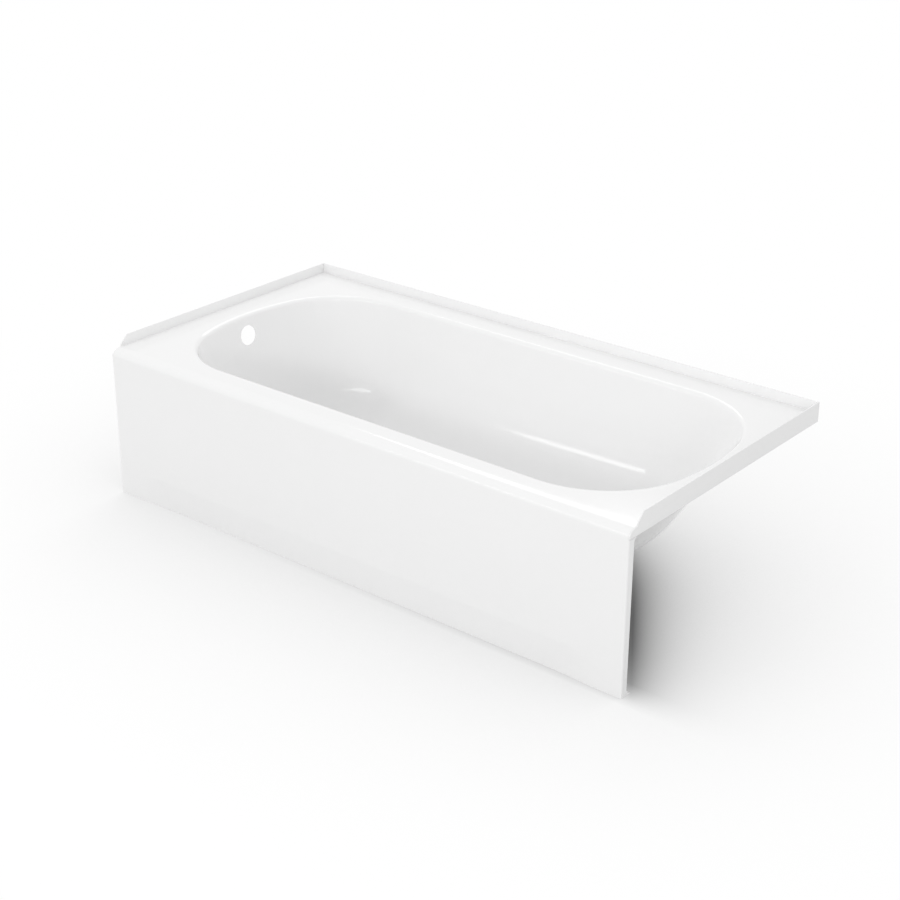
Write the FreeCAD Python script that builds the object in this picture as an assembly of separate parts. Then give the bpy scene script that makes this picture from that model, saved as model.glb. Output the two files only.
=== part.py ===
import FreeCAD, Part
import math
import os

# Alcove bathtub of pressed, enamelled steel, left-hand waste, with its own front apron.
# Frame: X along the length (waste end at -X), Y towards the back wall (apron at -Y), Z up.
# The origin is the centre of the footprint, on the floor. All sizes are millimetres.

# ---------------------------------------------------------------- envelope
TUB_LENGTH = 1524.0          # between the alcove's two end walls
TUB_WIDTH = 762.0            # front of the apron to the alcove's back wall
DECK_HEIGHT = 387.35         # top of the flat rim above the floor
FLANGE_RISE = 25.4           # tile flange above the rim

# ---------------------------------------------------------------- sheets
SHEET = 2.0                  # drawn steel with enamel on both faces
FLANGE_SHEET = 3.0           # tile flange strips
BRACKET_SHEET = 2.0          # ties, foot channel and joint strip
BRACE_SHEET = 1.5            # hat-section braces
LIP_DROP = 23.0              # turned-down edge of the rim
EDGE_RADIUS = 2.8            # outside edge where the front meets the two end faces

# ---------------------------------------------------------------- front shoulder
SHOULDER_SOFT_RADIUS = 43.0  # where the rim starts to fall
SHOULDER_TIGHT_RADIUS = 12.0 # where it turns down into the apron
SHOULDER_ANGLE = 35.5        # slope, in degrees, where the two arcs meet

# ---------------------------------------------------------------- mouth of the well (sharp edge, before the roll)
WASTE_END_DECK = 78.0        # end of the tub to the mouth, waste end
BACKREST_DECK = 41.0         # end of the tub to the mouth, backrest end
SIDE_DECK = 79.0             # front or back of the tub to the mouth
WASTE_CORNER_SHARE = 0.70    # corner radius of the outline as a share of its half width
BACKREST_CORNER_SHARE = 0.76
WASTE_NOSE_ANGLE = 16.0      # half of the flatter nose arc, in degrees
BACKREST_NOSE_ANGLE = 10.0
RIM_ROLL_RADIUS = 12.0       # rim rolls over into the well

# ---------------------------------------------------------------- walls and floor of the well
SIDE_DRAFT_ANGLE = 7.0       # degrees from upright
WASTE_END_DRAFT_ANGLE = 9.0
BACKREST_SLOPE_ANGLE = 32.0
FLOOR_AT_WASTE = 48.0        # inside floor above the ground, at the waste
FLOOR_FALL_RATIO = 0.017     # rise per length, from the waste to the backrest
FLOOR_CORNER_SHARE = 0.80    # corner radius of the outline as a share of its half width
FILLET_STEP_ANGLE = 10.0     # degrees between the outlines drawn round the side fillet
WALL_SECTIONS = 6            # outlines drawn up the straight walls
FLOOR_NOSE_ANGLE = 22.0
SIDE_FILLET = 195.0
WASTE_END_FILLET = 110.0
BACKREST_FILLET = 230.0

# ---------------------------------------------------------------- waste and overflow
WASTE_FROM_END = 280.0
WASTE_HOLE_RADIUS = 25.4
WASTE_DISH_RADIUS = 44.0     # pressed dish that the strainer's flange sits in
WASTE_DISH_DEPTH = 3.0
WASTE_DISH_SLOPE = 3.0       # run of the dish's sloping wall
WASTE_DISH_MARGIN = 4.0      # flat floor round the dish that is pressed with it
OVERFLOW_HOLE_RADIUS = 26.0
OVERFLOW_BELOW_DECK = 54.0

# ---------------------------------------------------------------- tile flange
FLANGE_NOSE_FROM_FRONT = 28.0   # upright nose of the end strips
FLANGE_NOSE_RISE = 5.0
FLANGE_CUT_RUN = 22.0           # sloping cut behind the nose
FLANGE_TOP_EASE = 1.0           # eased top edges

# ---------------------------------------------------------------- apron
SIDE_RETURN = 18.0
FOOT_RETURN = 30.0
RETURN_CORNER_RADIUS = 10.0
TOE_HEIGHT = 76.2
TOE_SETBACK = 5.5               # at the floor
TOE_FROM_END = 82.0
TOE_RUNOUT = 60.0               # length over which the toe band dies out at each end
TOE_CORNER_RADIUS = 58.0

# ---------------------------------------------------------------- stiffening behind the apron
JOINT_STRIP_WIDTH = 19.0
JOINT_STRIP_ABOVE_SEAM = 5.0
JOINT_STRIP_FROM_END = 14.0
BRACE_COUNT = 3
BRACE_PITCH = 400.0
BRACE_CROWN = 40.0
BRACE_FOOT = 15.0
BRACE_DEPTH = 16.0
BRACE_GAP = 10.0                # clear of the toe band below
FOOT_CHANNEL_LENGTH = 1160.0
FOOT_CHANNEL_HEIGHT = 22.0
FOOT_CHANNEL_GAP = 1.5          # behind the toe band and inside the foot return's edge
TIE_WIDTH = 34.0
TIE_HEIGHT = 215.0
TIE_FLANGE = 26.0

# ---------------------------------------------------------------- under the well
BED_LENGTH = 840.0
BED_WIDTH = 380.0
BED_BLOCK_HEIGHT = 130.0        # before the well's shape is cut from it
BED_CORNER_RADIUS = 35.0
BED_FROM_END = 336.0            # waste end of the tub to the bed
PAD_THICKNESS = 3.0
PAD_LENGTH = 620.0
PAD_BOTTOM = 130.0
PAD_TOP = 290.0
PAD_FROM_TIE = 33.0             # tie at the waste end to the side pads
END_PAD_WIDTH = 210.0
END_PAD_BOTTOM = 120.0
END_PAD_TOP = 250.0

# ---------------------------------------------------------------- worked out from the above
HALF_LENGTH = TUB_LENGTH / 2
HALF_WIDTH = TUB_WIDTH / 2
FRONT = -HALF_WIDTH
BACK = HALF_WIDTH
FLANGE_TOP = DECK_HEIGHT + FLANGE_RISE
SEAM_HEIGHT = DECK_HEIGHT - LIP_DROP     # lower edge of the rim's lips, top edge of the apron
SHELL_END = HALF_LENGTH - FLANGE_SHEET   # the end strips lap the shell's lips
SHELL_BACK = BACK - FLANGE_SHEET
OVERRUN = 20.0                           # how far cutting bodies run past what they cut
TOLERANCE = 0.01                         # slack when edges are picked by their place
SMALLEST_SOLID = 1.0                     # cubic millimetres; anything less is a cutting sliver
Z_AXIS = FreeCAD.Vector(0, 0, 1)


def slope_tangent(degrees):
    """Tangent of an angle in degrees."""
    return math.tan(math.radians(degrees))


def floor_height(x):
    """Height of the well's inside floor at x."""
    waste_x = WASTE_FROM_END - HALF_LENGTH
    return FLOOR_AT_WASTE + FLOOR_FALL_RATIO * (x - waste_x)


def box(x_range, y_range, z_range):
    """Solid box between three pairs of limits."""
    size = [high - low for low, high in (x_range, y_range, z_range)]
    corner = FreeCAD.Vector(x_range[0], y_range[0], z_range[0])
    return Part.makeBox(size[0], size[1], size[2], corner)


def prism(outline_points, x_range):
    """Solid along X from a list of (y, z) corners."""
    points = [FreeCAD.Vector(x_range[0], y, z) for y, z in outline_points]
    face = Part.Face(Part.makePolygon(points + points[:1]))
    return face.extrude(FreeCAD.Vector(x_range[1] - x_range[0], 0, 0))


def on_arc(centre, radius, degrees):
    """Point (a, b) on a circle, with the angle measured from the first axis."""
    angle = math.radians(degrees)
    return centre[0] + radius * math.cos(angle), centre[1] + radius * math.sin(angle)


def write(name, shape):
    """Write one sub-part and report it."""
    shape = shape.removeSplitter()
    solids = [solid for solid in shape.Solids if solid.Volume > SMALLEST_SOLID]
    shape = solids[0] if len(solids) == 1 else Part.makeCompound(solids)
    shape.exportStep(os.path.join("parts", name + ".step"))
    print(f"{name}: {len(solids)} solid(s), {shape.Volume / 1000:.1f} cm3, valid {shape.isValid()}")


# ================================================================ the well

def rounded_end(tip_x, half_width, corner_radius, nose_angle, direction):
    """Tip, join, corner mid-point and side point of one end of the well's outline, for y >= 0."""
    nose = math.radians(nose_angle)
    nose_radius = corner_radius + (half_width - corner_radius) / math.sin(nose)
    nose_centre = tip_x - direction * nose_radius
    corner_x = nose_centre + direction * (nose_radius - corner_radius) * math.cos(nose)
    corner_y = half_width - corner_radius
    middle = (nose + math.pi / 2) / 2
    tip = FreeCAD.Vector(tip_x, 0, 0)
    join = FreeCAD.Vector(
        nose_centre + direction * nose_radius * math.cos(nose),
        nose_radius * math.sin(nose),
        0,
    )
    corner = FreeCAD.Vector(
        corner_x + direction * corner_radius * math.cos(middle),
        corner_y + corner_radius * math.sin(middle),
        0,
    )
    side = FreeCAD.Vector(corner_x, half_width, 0)
    return tip, join, corner, side


def well_outline(left_x, right_x, half_width, left_radius, right_radius, left_nose, right_nose):
    """Closed outline in the XY plane: two straight sides, and two ends of three tangent arcs."""
    def front(point):
        return FreeCAD.Vector(point.x, -point.y, 0)

    l_tip, l_join, l_corner, l_side = rounded_end(left_x, half_width, left_radius, left_nose, -1)
    r_tip, r_join, r_corner, r_side = rounded_end(right_x, half_width, right_radius, right_nose, 1)
    curves = [
        Part.LineSegment(front(l_side), front(r_side)),
        Part.Arc(front(r_side), front(r_corner), front(r_join)),
        Part.Arc(front(r_join), r_tip, r_join),
        Part.Arc(r_join, r_corner, r_side),
        Part.LineSegment(r_side, l_side),
        Part.Arc(l_side, l_corner, l_join),
        Part.Arc(l_join, l_tip, front(l_join)),
        Part.Arc(front(l_join), front(l_corner), front(l_side)),
    ]
    return Part.Wire([curve.toShape() for curve in curves])


def wall_section(mouth, lean, fillet, floor_level, grow, share):
    """Distance of a wall from the tub's centre, at a share of the well's height.

    The wall leans inwards from the mouth and runs into the floor through an arc. All of it is
    moved outwards through the sheet by grow.
    """
    floor_level = floor_level - grow
    fillet = fillet + grow
    mouth = mouth + grow / math.cos(math.radians(lean))
    height = floor_level + share * (DECK_HEIGHT - floor_level)
    centre_height = floor_level + fillet
    tangent_height = centre_height - fillet * math.sin(math.radians(lean))
    if height >= tangent_height:
        return mouth - (DECK_HEIGHT - height) * slope_tangent(lean)
    wall_at_centre = mouth - (DECK_HEIGHT - centre_height) * slope_tangent(lean)
    centre = wall_at_centre - fillet / math.cos(math.radians(lean))
    return centre + math.sqrt(max(0.0, fillet ** 2 - (centre_height - height) ** 2))


def well_section(grow, share):
    """The well's outline at a share of its height, from 0 at the floor to 1 at the deck."""
    waste_mouth = HALF_LENGTH - WASTE_END_DECK
    backrest_mouth = HALF_LENGTH - BACKREST_DECK
    half_width = wall_section(
        HALF_WIDTH - SIDE_DECK, SIDE_DRAFT_ANGLE, SIDE_FILLET, floor_height(0), grow, share
    )
    left = wall_section(
        waste_mouth, WASTE_END_DRAFT_ANGLE, WASTE_END_FILLET, floor_height(-waste_mouth), grow, share
    )
    right = wall_section(
        backrest_mouth, BACKREST_SLOPE_ANGLE, BACKREST_FILLET, floor_height(backrest_mouth), grow, share
    )
    left_corner = FLOOR_CORNER_SHARE + share * (WASTE_CORNER_SHARE - FLOOR_CORNER_SHARE)
    right_corner = FLOOR_CORNER_SHARE + share * (BACKREST_CORNER_SHARE - FLOOR_CORNER_SHARE)
    outline = well_outline(
        -left,
        right,
        half_width,
        half_width * left_corner,
        half_width * right_corner,
        FLOOR_NOSE_ANGLE + share * (WASTE_NOSE_ANGLE - FLOOR_NOSE_ANGLE),
        FLOOR_NOSE_ANGLE + share * (BACKREST_NOSE_ANGLE - FLOOR_NOSE_ANGLE),
    )
    fall = FLOOR_FALL_RATIO * (1 - share)
    tilt = -math.degrees(math.atan(fall))
    outline.rotate(FreeCAD.Vector(0, 0, 0), FreeCAD.Vector(0, 1, 0), tilt)
    outline.translate(Z_AXIS * (share * DECK_HEIGHT + (1 - share) * (floor_height(0) - grow)))
    return outline


def section_shares(grow):
    """Shares of the well's height at which its outline is drawn: close together in the fillet."""
    depth = DECK_HEIGHT - floor_height(0) + grow
    fillet = SIDE_FILLET + grow
    steps = int((90 - SIDE_DRAFT_ANGLE) // FILLET_STEP_ANGLE)
    angles = [math.radians(FILLET_STEP_ANGLE * step) for step in range(steps + 1)]
    in_fillet = [fillet * (1 - math.cos(angle)) / depth for angle in angles]
    last = in_fillet[-1]
    in_wall = [last + (1 - last) * step / WALL_SECTIONS for step in range(1, WALL_SECTIONS + 1)]
    return in_fillet + in_wall


def well_body(grow):
    """Solid that fills the well: its surface is the inside of the sheet, moved outwards by grow."""
    return Part.makeLoft([well_section(grow, share) for share in section_shares(grow)], True)


# ================================================================ rim and shell

def shoulder_points(inset):
    """Corners and mid-points (y, z) of the shoulder's two arcs, moved inwards by inset."""
    soft = SHOULDER_SOFT_RADIUS
    tight = SHOULDER_TIGHT_RADIUS
    angle = math.radians(SHOULDER_ANGLE)
    start_y = FRONT + soft * math.sin(angle) + tight * (1 - math.sin(angle))
    soft_centre = (start_y, DECK_HEIGHT - soft)
    tight_centre = (
        start_y - (soft - tight) * math.sin(angle),
        DECK_HEIGHT - soft + (soft - tight) * math.cos(angle),
    )
    return [
        on_arc(soft_centre, soft - inset, 90),
        on_arc(soft_centre, soft - inset, 90 + SHOULDER_ANGLE / 2),
        on_arc(soft_centre, soft - inset, 90 + SHOULDER_ANGLE),
        on_arc(tight_centre, tight - inset, (270 + SHOULDER_ANGLE) / 2),
        on_arc(tight_centre, tight - inset, 180),
    ]


def profile_face(x, points, arcs):
    """Face in the plane of x: corners (y, z) joined by lines, or by arcs where arcs holds a mid-point."""
    edges = []
    for index, point in enumerate(points):
        following = points[(index + 1) % len(points)]
        start = FreeCAD.Vector(x, *point)
        end = FreeCAD.Vector(x, *following)
        if index in arcs:
            curve = Part.Arc(start, FreeCAD.Vector(x, *arcs[index]), end)
        else:
            curve = Part.LineSegment(start, end)
        edges.append(curve.toShape())
    return Part.Face(Part.Wire(edges))


def rim_block(inset):
    """Solid below the rim's surface, moved inwards by inset, down past the floor."""
    top, soft_middle, join, tight_middle, foot = shoulder_points(inset)
    bottom = -OVERRUN - inset
    back = SHELL_BACK - inset
    points = [top, join, foot, (foot[0], bottom), (back, bottom), (back, DECK_HEIGHT - inset)]
    end = SHELL_END - inset
    face = profile_face(-end, points, {0: soft_middle, 1: tight_middle})
    return face.extrude(FreeCAD.Vector(2 * end, 0, 0))


def rolled_block(inset):
    """Rim block with the well cut out of it and the rim rolled over into the well."""
    block = rim_block(inset).cut(well_body(inset))
    level = DECK_HEIGHT - inset
    reach = SHELL_END - RIM_ROLL_RADIUS / 2
    mouth = [
        edge for edge in block.Edges
        if edge.BoundBox.ZMin > level - TOLERANCE and abs(edge.BoundBox.XMin) < reach
        and abs(edge.BoundBox.XMax) < reach
    ]
    return block.makeFillet(RIM_ROLL_RADIUS - inset, mouth)


def waste_frame():
    """Placement on the inside floor at the waste, with its Z axis square to the floor."""
    position = FreeCAD.Vector(WASTE_FROM_END - HALF_LENGTH, 0, FLOOR_AT_WASTE)
    tilt = -math.degrees(math.atan(FLOOR_FALL_RATIO))
    return FreeCAD.Placement(position, FreeCAD.Rotation(FreeCAD.Vector(0, 1, 0), tilt))


def waste_dish():
    """Pressed dish of the sheet's own thickness, with the waste hole in it."""
    outer = WASTE_DISH_RADIUS + WASTE_DISH_MARGIN
    foot = WASTE_DISH_RADIUS - WASTE_DISH_SLOPE
    section = [
        (outer, 0),
        (WASTE_DISH_RADIUS, 0),
        (foot, -WASTE_DISH_DEPTH),
        (WASTE_HOLE_RADIUS, -WASTE_DISH_DEPTH),
        (WASTE_HOLE_RADIUS, -WASTE_DISH_DEPTH - SHEET),
        (foot + SHEET / 2, -WASTE_DISH_DEPTH - SHEET),
        (WASTE_DISH_RADIUS + SHEET / 2, -SHEET),
        (outer, -SHEET),
    ]
    points = [FreeCAD.Vector(radius, 0, z) for radius, z in section]
    face = Part.Face(Part.makePolygon(points + points[:1]))
    dish = face.revolve(FreeCAD.Vector(0, 0, 0), Z_AXIS, 360)
    dish.Placement = waste_frame()
    return dish


def waste_blank():
    """Disc of floor that the dish takes the place of."""
    radius = WASTE_DISH_RADIUS + WASTE_DISH_MARGIN
    blank = Part.makeCylinder(radius, 2 * OVERRUN, FreeCAD.Vector(0, 0, -OVERRUN))
    blank.Placement = waste_frame()
    return blank


def overflow_drill():
    """Drill square to the waste-end wall, at the overflow."""
    wall_x = WASTE_END_DECK - HALF_LENGTH + OVERFLOW_BELOW_DECK * slope_tangent(WASTE_END_DRAFT_ANGLE)
    lean = math.radians(WASTE_END_DRAFT_ANGLE)
    direction = FreeCAD.Vector(math.cos(lean), 0, math.sin(lean))
    centre = FreeCAD.Vector(wall_x, 0, DECK_HEIGHT - OVERFLOW_BELOW_DECK)
    return Part.makeCylinder(OVERFLOW_HOLE_RADIUS, 2 * OVERRUN, centre - direction * OVERRUN, direction)


def bath_shell():
    """Rim, shoulder, turned-down lips and well, drawn from one sheet."""
    sheet = rolled_block(0).cut(rolled_block(SHEET))
    below = (-OVERRUN * 2, SEAM_HEIGHT)
    everything = box((-HALF_LENGTH, HALF_LENGTH), (FRONT, BACK), below)
    lip_zone = FLANGE_SHEET + 2 * SHEET
    inside = box(
        (lip_zone - HALF_LENGTH, HALF_LENGTH - lip_zone),
        (FRONT + lip_zone, BACK - lip_zone),
        below,
    )
    sheet = sheet.cut(everything.cut(inside))
    sheet = sheet.cut(overflow_drill())
    return sheet.cut(waste_blank()).fuse(waste_dish())


# ================================================================ tile flange

def end_strip(direction):
    """Strip lapped on an end lip: tile flange above the deck, end face of the rim below it."""
    top, soft_middle, join, tight_middle, foot = shoulder_points(0)
    nose_y = FRONT + FLANGE_NOSE_FROM_FRONT
    nose_z = DECK_HEIGHT + FLANGE_NOSE_RISE
    cut_y = nose_y + FLANGE_CUT_RUN
    back = BACK - FLANGE_SHEET
    below = profile_face(
        SHELL_END,
        [top, join, foot, (foot[0], SEAM_HEIGHT), (back, SEAM_HEIGHT), (back, DECK_HEIGHT)],
        {0: soft_middle, 1: tight_middle},
    )
    outward = FreeCAD.Vector(FLANGE_SHEET, 0, 0)
    strip = below.extrude(outward)
    sharp = [edge for edge in strip.Edges if is_front_edge(edge, top[0])]
    strip = strip.makeFillet(EDGE_RADIUS, sharp)
    flange_corners = [
        (nose_y, DECK_HEIGHT - EDGE_RADIUS),
        (nose_y, nose_z),
        (cut_y, FLANGE_TOP),
        (back, FLANGE_TOP),
        (back, DECK_HEIGHT - EDGE_RADIUS),
    ]
    flange = prism(flange_corners, (SHELL_END, HALF_LENGTH))
    eased = [edge for edge in flange.Edges if is_long_top_edge(edge)]
    strip = strip.fuse(flange.makeFillet(FLANGE_TOP_EASE, eased))
    if direction < 0:
        strip = strip.mirror(FreeCAD.Vector(0, 0, 0), FreeCAD.Vector(1, 0, 0))
    return strip


def is_front_edge(edge, shoulder_start):
    """True for the outside edges along the front face and the shoulder."""
    bounds = edge.BoundBox
    outside = bounds.XMin > HALF_LENGTH - TOLERANCE
    horizontal_foot = bounds.ZMax < SEAM_HEIGHT + TOLERANCE
    return outside and bounds.YMax < shoulder_start + TOLERANCE and not horizontal_foot


def is_long_top_edge(edge):
    """True for the two long edges along the top of a flange."""
    bounds = edge.BoundBox
    return bounds.ZMin > FLANGE_TOP - TOLERANCE and max(bounds.XLength, bounds.YLength) > TUB_WIDTH / 2


def back_strip():
    """Strip lapped on the back lip, the full length of the tub."""
    strip = box((-HALF_LENGTH, HALF_LENGTH), (SHELL_BACK, BACK), (SEAM_HEIGHT, FLANGE_TOP))
    eased = [edge for edge in strip.Edges if is_long_top_edge(edge)]
    return strip.makeFillet(FLANGE_TOP_EASE, eased)


# ================================================================ apron

def toe_outline(depth):
    """Rounded outline of the toe band's cut at a depth behind the apron's face."""
    share = depth / TOE_SETBACK
    half = HALF_LENGTH - TOE_FROM_END - TOE_RUNOUT * share
    top = TOE_HEIGHT * (1 - share)
    bottom = -TOE_HEIGHT * 2
    radius = TOE_CORNER_RADIUS
    y = FRONT + depth
    diagonal = radius * (1 - math.sqrt(0.5))

    def at(x, z):
        return FreeCAD.Vector(x, y, z)

    curves = [
        Part.LineSegment(at(-half, bottom), at(-half, top - radius)),
        Part.Arc(at(-half, top - radius), at(-half + diagonal, top - diagonal), at(-half + radius, top)),
        Part.LineSegment(at(-half + radius, top), at(half - radius, top)),
        Part.Arc(at(half - radius, top), at(half - diagonal, top - diagonal), at(half, top - radius)),
        Part.LineSegment(at(half, top - radius), at(half, bottom)),
        Part.LineSegment(at(half, bottom), at(-half, bottom)),
    ]
    return Part.Wire([curve.toShape() for curve in curves])


def toe_cut(inset):
    """Body that cuts the slanting toe band, moved inwards by inset."""
    reach = 2 * TOE_SETBACK
    cut = Part.makeLoft([toe_outline(-reach), toe_outline(reach)], True, True)
    cut.translate(FreeCAD.Vector(0, inset, 0))
    return cut


def apron_panel():
    """Front panel with its toe band, two side returns and the foot return."""
    top = SEAM_HEIGHT
    outer = box((-HALF_LENGTH, HALF_LENGTH), (FRONT, FRONT + FOOT_RETURN), (0, top))
    upright = [
        edge for edge in outer.Edges
        if edge.BoundBox.ZLength > top / 2 and edge.BoundBox.YMax < FRONT + TOLERANCE
    ]
    outer = outer.makeFillet(EDGE_RADIUS, upright).cut(toe_cut(0))
    inner_end = HALF_LENGTH - SHEET
    inner = box((-inner_end, inner_end), (FRONT + SHEET, BACK), (SHEET, top + OVERRUN))
    panel = outer.cut(inner.cut(toe_cut(SHEET)))
    window = box((-TUB_LENGTH, TUB_LENGTH), (FRONT + SIDE_RETURN, BACK), (SHEET, top))
    corners = [edge for edge in window.Edges if edge.BoundBox.YMax < FRONT + SIDE_RETURN + TOLERANCE
               and edge.BoundBox.XLength > TUB_LENGTH]
    return panel.cut(window.makeFillet(RETURN_CORNER_RADIUS, corners))


def joint_strip():
    """Backing strip welded behind the seam between the rim's front lip and the apron."""
    end = HALF_LENGTH - JOINT_STRIP_FROM_END
    top = SEAM_HEIGHT + JOINT_STRIP_ABOVE_SEAM
    back_of_panel = FRONT + SHEET
    return box(
        (-end, end),
        (back_of_panel, back_of_panel + BRACKET_SHEET),
        (top - JOINT_STRIP_WIDTH, top),
    )


def foot_channel():
    """Channel that stiffens the foot of the apron; it stands on the foot return."""
    half = FOOT_CHANNEL_LENGTH / 2
    front = FRONT + TOE_SETBACK + SHEET + FOOT_CHANNEL_GAP
    back = FRONT + FOOT_RETURN - FOOT_CHANNEL_GAP
    outside = box((-half, half), (front, back), (SHEET, SHEET + FOOT_CHANNEL_HEIGHT))
    hollow = box(
        (-half, half),
        (front + BRACKET_SHEET, back),
        (SHEET + BRACKET_SHEET, SHEET + FOOT_CHANNEL_HEIGHT - BRACKET_SHEET),
    )
    return outside.cut(hollow)


def brace_places():
    """Places of the braces along X, with the middle one on the tub's centre."""
    middle = (BRACE_COUNT - 1) / 2
    return [(index - middle) * BRACE_PITCH for index in range(BRACE_COUNT)]


def apron_brace(x):
    """Upright hat-section brace, spot-welded to the back of the apron."""
    bottom = TOE_HEIGHT + BRACE_GAP
    top = SEAM_HEIGHT + JOINT_STRIP_ABOVE_SEAM - JOINT_STRIP_WIDTH
    back_of_panel = FRONT + SHEET
    crown_y = back_of_panel + BRACE_DEPTH
    half = BRACE_CROWN / 2
    section = [
        (-half - BRACE_FOOT, back_of_panel),
        (-half + BRACE_SHEET, back_of_panel),
        (-half + BRACE_SHEET, crown_y - BRACE_SHEET),
        (half - BRACE_SHEET, crown_y - BRACE_SHEET),
        (half - BRACE_SHEET, back_of_panel),
        (half + BRACE_FOOT, back_of_panel),
        (half + BRACE_FOOT, back_of_panel + BRACE_SHEET),
        (half, back_of_panel + BRACE_SHEET),
        (half, crown_y),
        (-half, crown_y),
        (-half, back_of_panel + BRACE_SHEET),
        (-half - BRACE_FOOT, back_of_panel + BRACE_SHEET),
    ]
    points = [FreeCAD.Vector(x + offset, y, bottom) for offset, y in section]
    face = Part.Face(Part.makePolygon(points + points[:1]))
    return face.extrude(Z_AXIS * (top - bottom))


def apron_tie(x, well_outside, well_outside_flanged):
    """Bent strap that ties a brace to the front wall of the well."""
    crown_y = FRONT + SHEET + BRACE_DEPTH
    width = (x - TIE_WIDTH / 2, x + TIE_WIDTH / 2)
    strap = box(width, (crown_y, 0), (TIE_HEIGHT, TIE_HEIGHT + BRACKET_SHEET))
    brace_flange = box(
        width,
        (crown_y, crown_y + BRACKET_SHEET),
        (TIE_HEIGHT, TIE_HEIGHT + TIE_FLANGE),
    )
    well_flange = well_outside_flanged.cut(well_outside).common(
        box(width, (FRONT, 0), (TIE_HEIGHT, TIE_HEIGHT + TIE_FLANGE))
    )
    return strap.cut(well_outside).fuse([brace_flange, well_flange])


# ================================================================ under the well

def support_bed(well_outside):
    """Foam bed that carries the floor of the well, hollowed to its shape."""
    start = BED_FROM_END - HALF_LENGTH
    half_width = BED_WIDTH / 2
    block = box(
        (start, start + BED_LENGTH),
        (-half_width, half_width),
        (0, BED_BLOCK_HEIGHT),
    )
    upright = [edge for edge in block.Edges if edge.BoundBox.ZLength > BED_BLOCK_HEIGHT / 2]
    return block.makeFillet(BED_CORNER_RADIUS, upright).cut(well_outside)


def side_pad(direction, well_outside, padded):
    """Sound-deadening pad glued to a long wall of the well."""
    start = brace_places()[0] + TIE_WIDTH / 2 + PAD_FROM_TIE
    across = (0, HALF_WIDTH) if direction > 0 else (-HALF_WIDTH, 0)
    zone = box((start, start + PAD_LENGTH), across, (PAD_BOTTOM, PAD_TOP))
    return padded.cut(well_outside).common(zone)


def end_pad(well_outside, padded):
    """Sound-deadening pad glued to the waste-end wall, below the overflow."""
    half = END_PAD_WIDTH / 2
    zone = box((-HALF_LENGTH, WASTE_FROM_END - HALF_LENGTH), (-half, half), (END_PAD_BOTTOM, END_PAD_TOP))
    return padded.cut(well_outside).common(zone)


def main():
    """Build every sub-part and write one file for each."""
    os.makedirs("parts", exist_ok=True)
    well_outside = well_body(SHEET)
    padded = well_body(SHEET + PAD_THICKNESS)
    flanged = well_body(SHEET + BRACKET_SHEET)
    braces = brace_places()

    write("bath_shell", bath_shell())
    write("tile_flange_left", end_strip(-1))
    write("tile_flange_right", end_strip(1))
    write("tile_flange_back", back_strip())
    write("apron_panel", apron_panel())
    write("apron_joint_strip", joint_strip())
    write("apron_foot_channel", foot_channel())
    for number, x in enumerate(braces, start=1):
        write(f"apron_brace_{number}", apron_brace(x))
    write("apron_tie_left", apron_tie(braces[0], well_outside, flanged))
    write("apron_tie_right", apron_tie(braces[-1], well_outside, flanged))
    write("support_bed", support_bed(well_outside))
    write("sound_pad_front", side_pad(-1, well_outside, padded))
    write("sound_pad_back", side_pad(1, well_outside, padded))
    write("sound_pad_waste_end", end_pad(well_outside, padded))


main()
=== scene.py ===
"""Looks of the alcove bathtub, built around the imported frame.

The enamelled sheets are worked out again here as smooth surfaces from the frame's own sizes. The
stiffeners, bed and pads keep the frame's shapes and get finishes. All lengths are metres.
"""
from __future__ import annotations

import logging
import math
from dataclasses import dataclass, field
from enum import Enum

import bmesh
import bpy
import numpy as np
from mathutils import Matrix, Quaternion, Vector


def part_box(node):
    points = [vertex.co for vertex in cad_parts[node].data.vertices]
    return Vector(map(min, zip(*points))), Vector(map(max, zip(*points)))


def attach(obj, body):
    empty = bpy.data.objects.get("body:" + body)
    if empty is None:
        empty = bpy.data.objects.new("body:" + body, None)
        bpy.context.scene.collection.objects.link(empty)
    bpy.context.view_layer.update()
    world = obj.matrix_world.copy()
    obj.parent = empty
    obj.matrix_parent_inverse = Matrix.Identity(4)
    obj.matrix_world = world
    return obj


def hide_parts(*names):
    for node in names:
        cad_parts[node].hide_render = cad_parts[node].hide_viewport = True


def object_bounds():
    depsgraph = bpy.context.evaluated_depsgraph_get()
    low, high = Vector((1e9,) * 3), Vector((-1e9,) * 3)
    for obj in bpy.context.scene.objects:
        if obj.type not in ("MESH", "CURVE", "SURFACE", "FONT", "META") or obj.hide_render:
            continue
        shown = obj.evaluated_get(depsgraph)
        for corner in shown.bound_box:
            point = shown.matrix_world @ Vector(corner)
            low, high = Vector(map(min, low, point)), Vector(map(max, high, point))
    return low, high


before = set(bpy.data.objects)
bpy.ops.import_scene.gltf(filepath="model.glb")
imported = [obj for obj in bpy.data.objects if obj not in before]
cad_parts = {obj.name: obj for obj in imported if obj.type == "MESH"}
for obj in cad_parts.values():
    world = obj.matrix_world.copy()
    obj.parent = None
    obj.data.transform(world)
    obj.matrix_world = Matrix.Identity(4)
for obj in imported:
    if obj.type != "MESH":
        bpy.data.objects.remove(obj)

LOG = logging.getLogger("bathtub")
CAD_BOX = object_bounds()
BODY = "root"
MM = 0.001
WELD_DISTANCE = 2e-6


# ============================================================================ meshes

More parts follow.
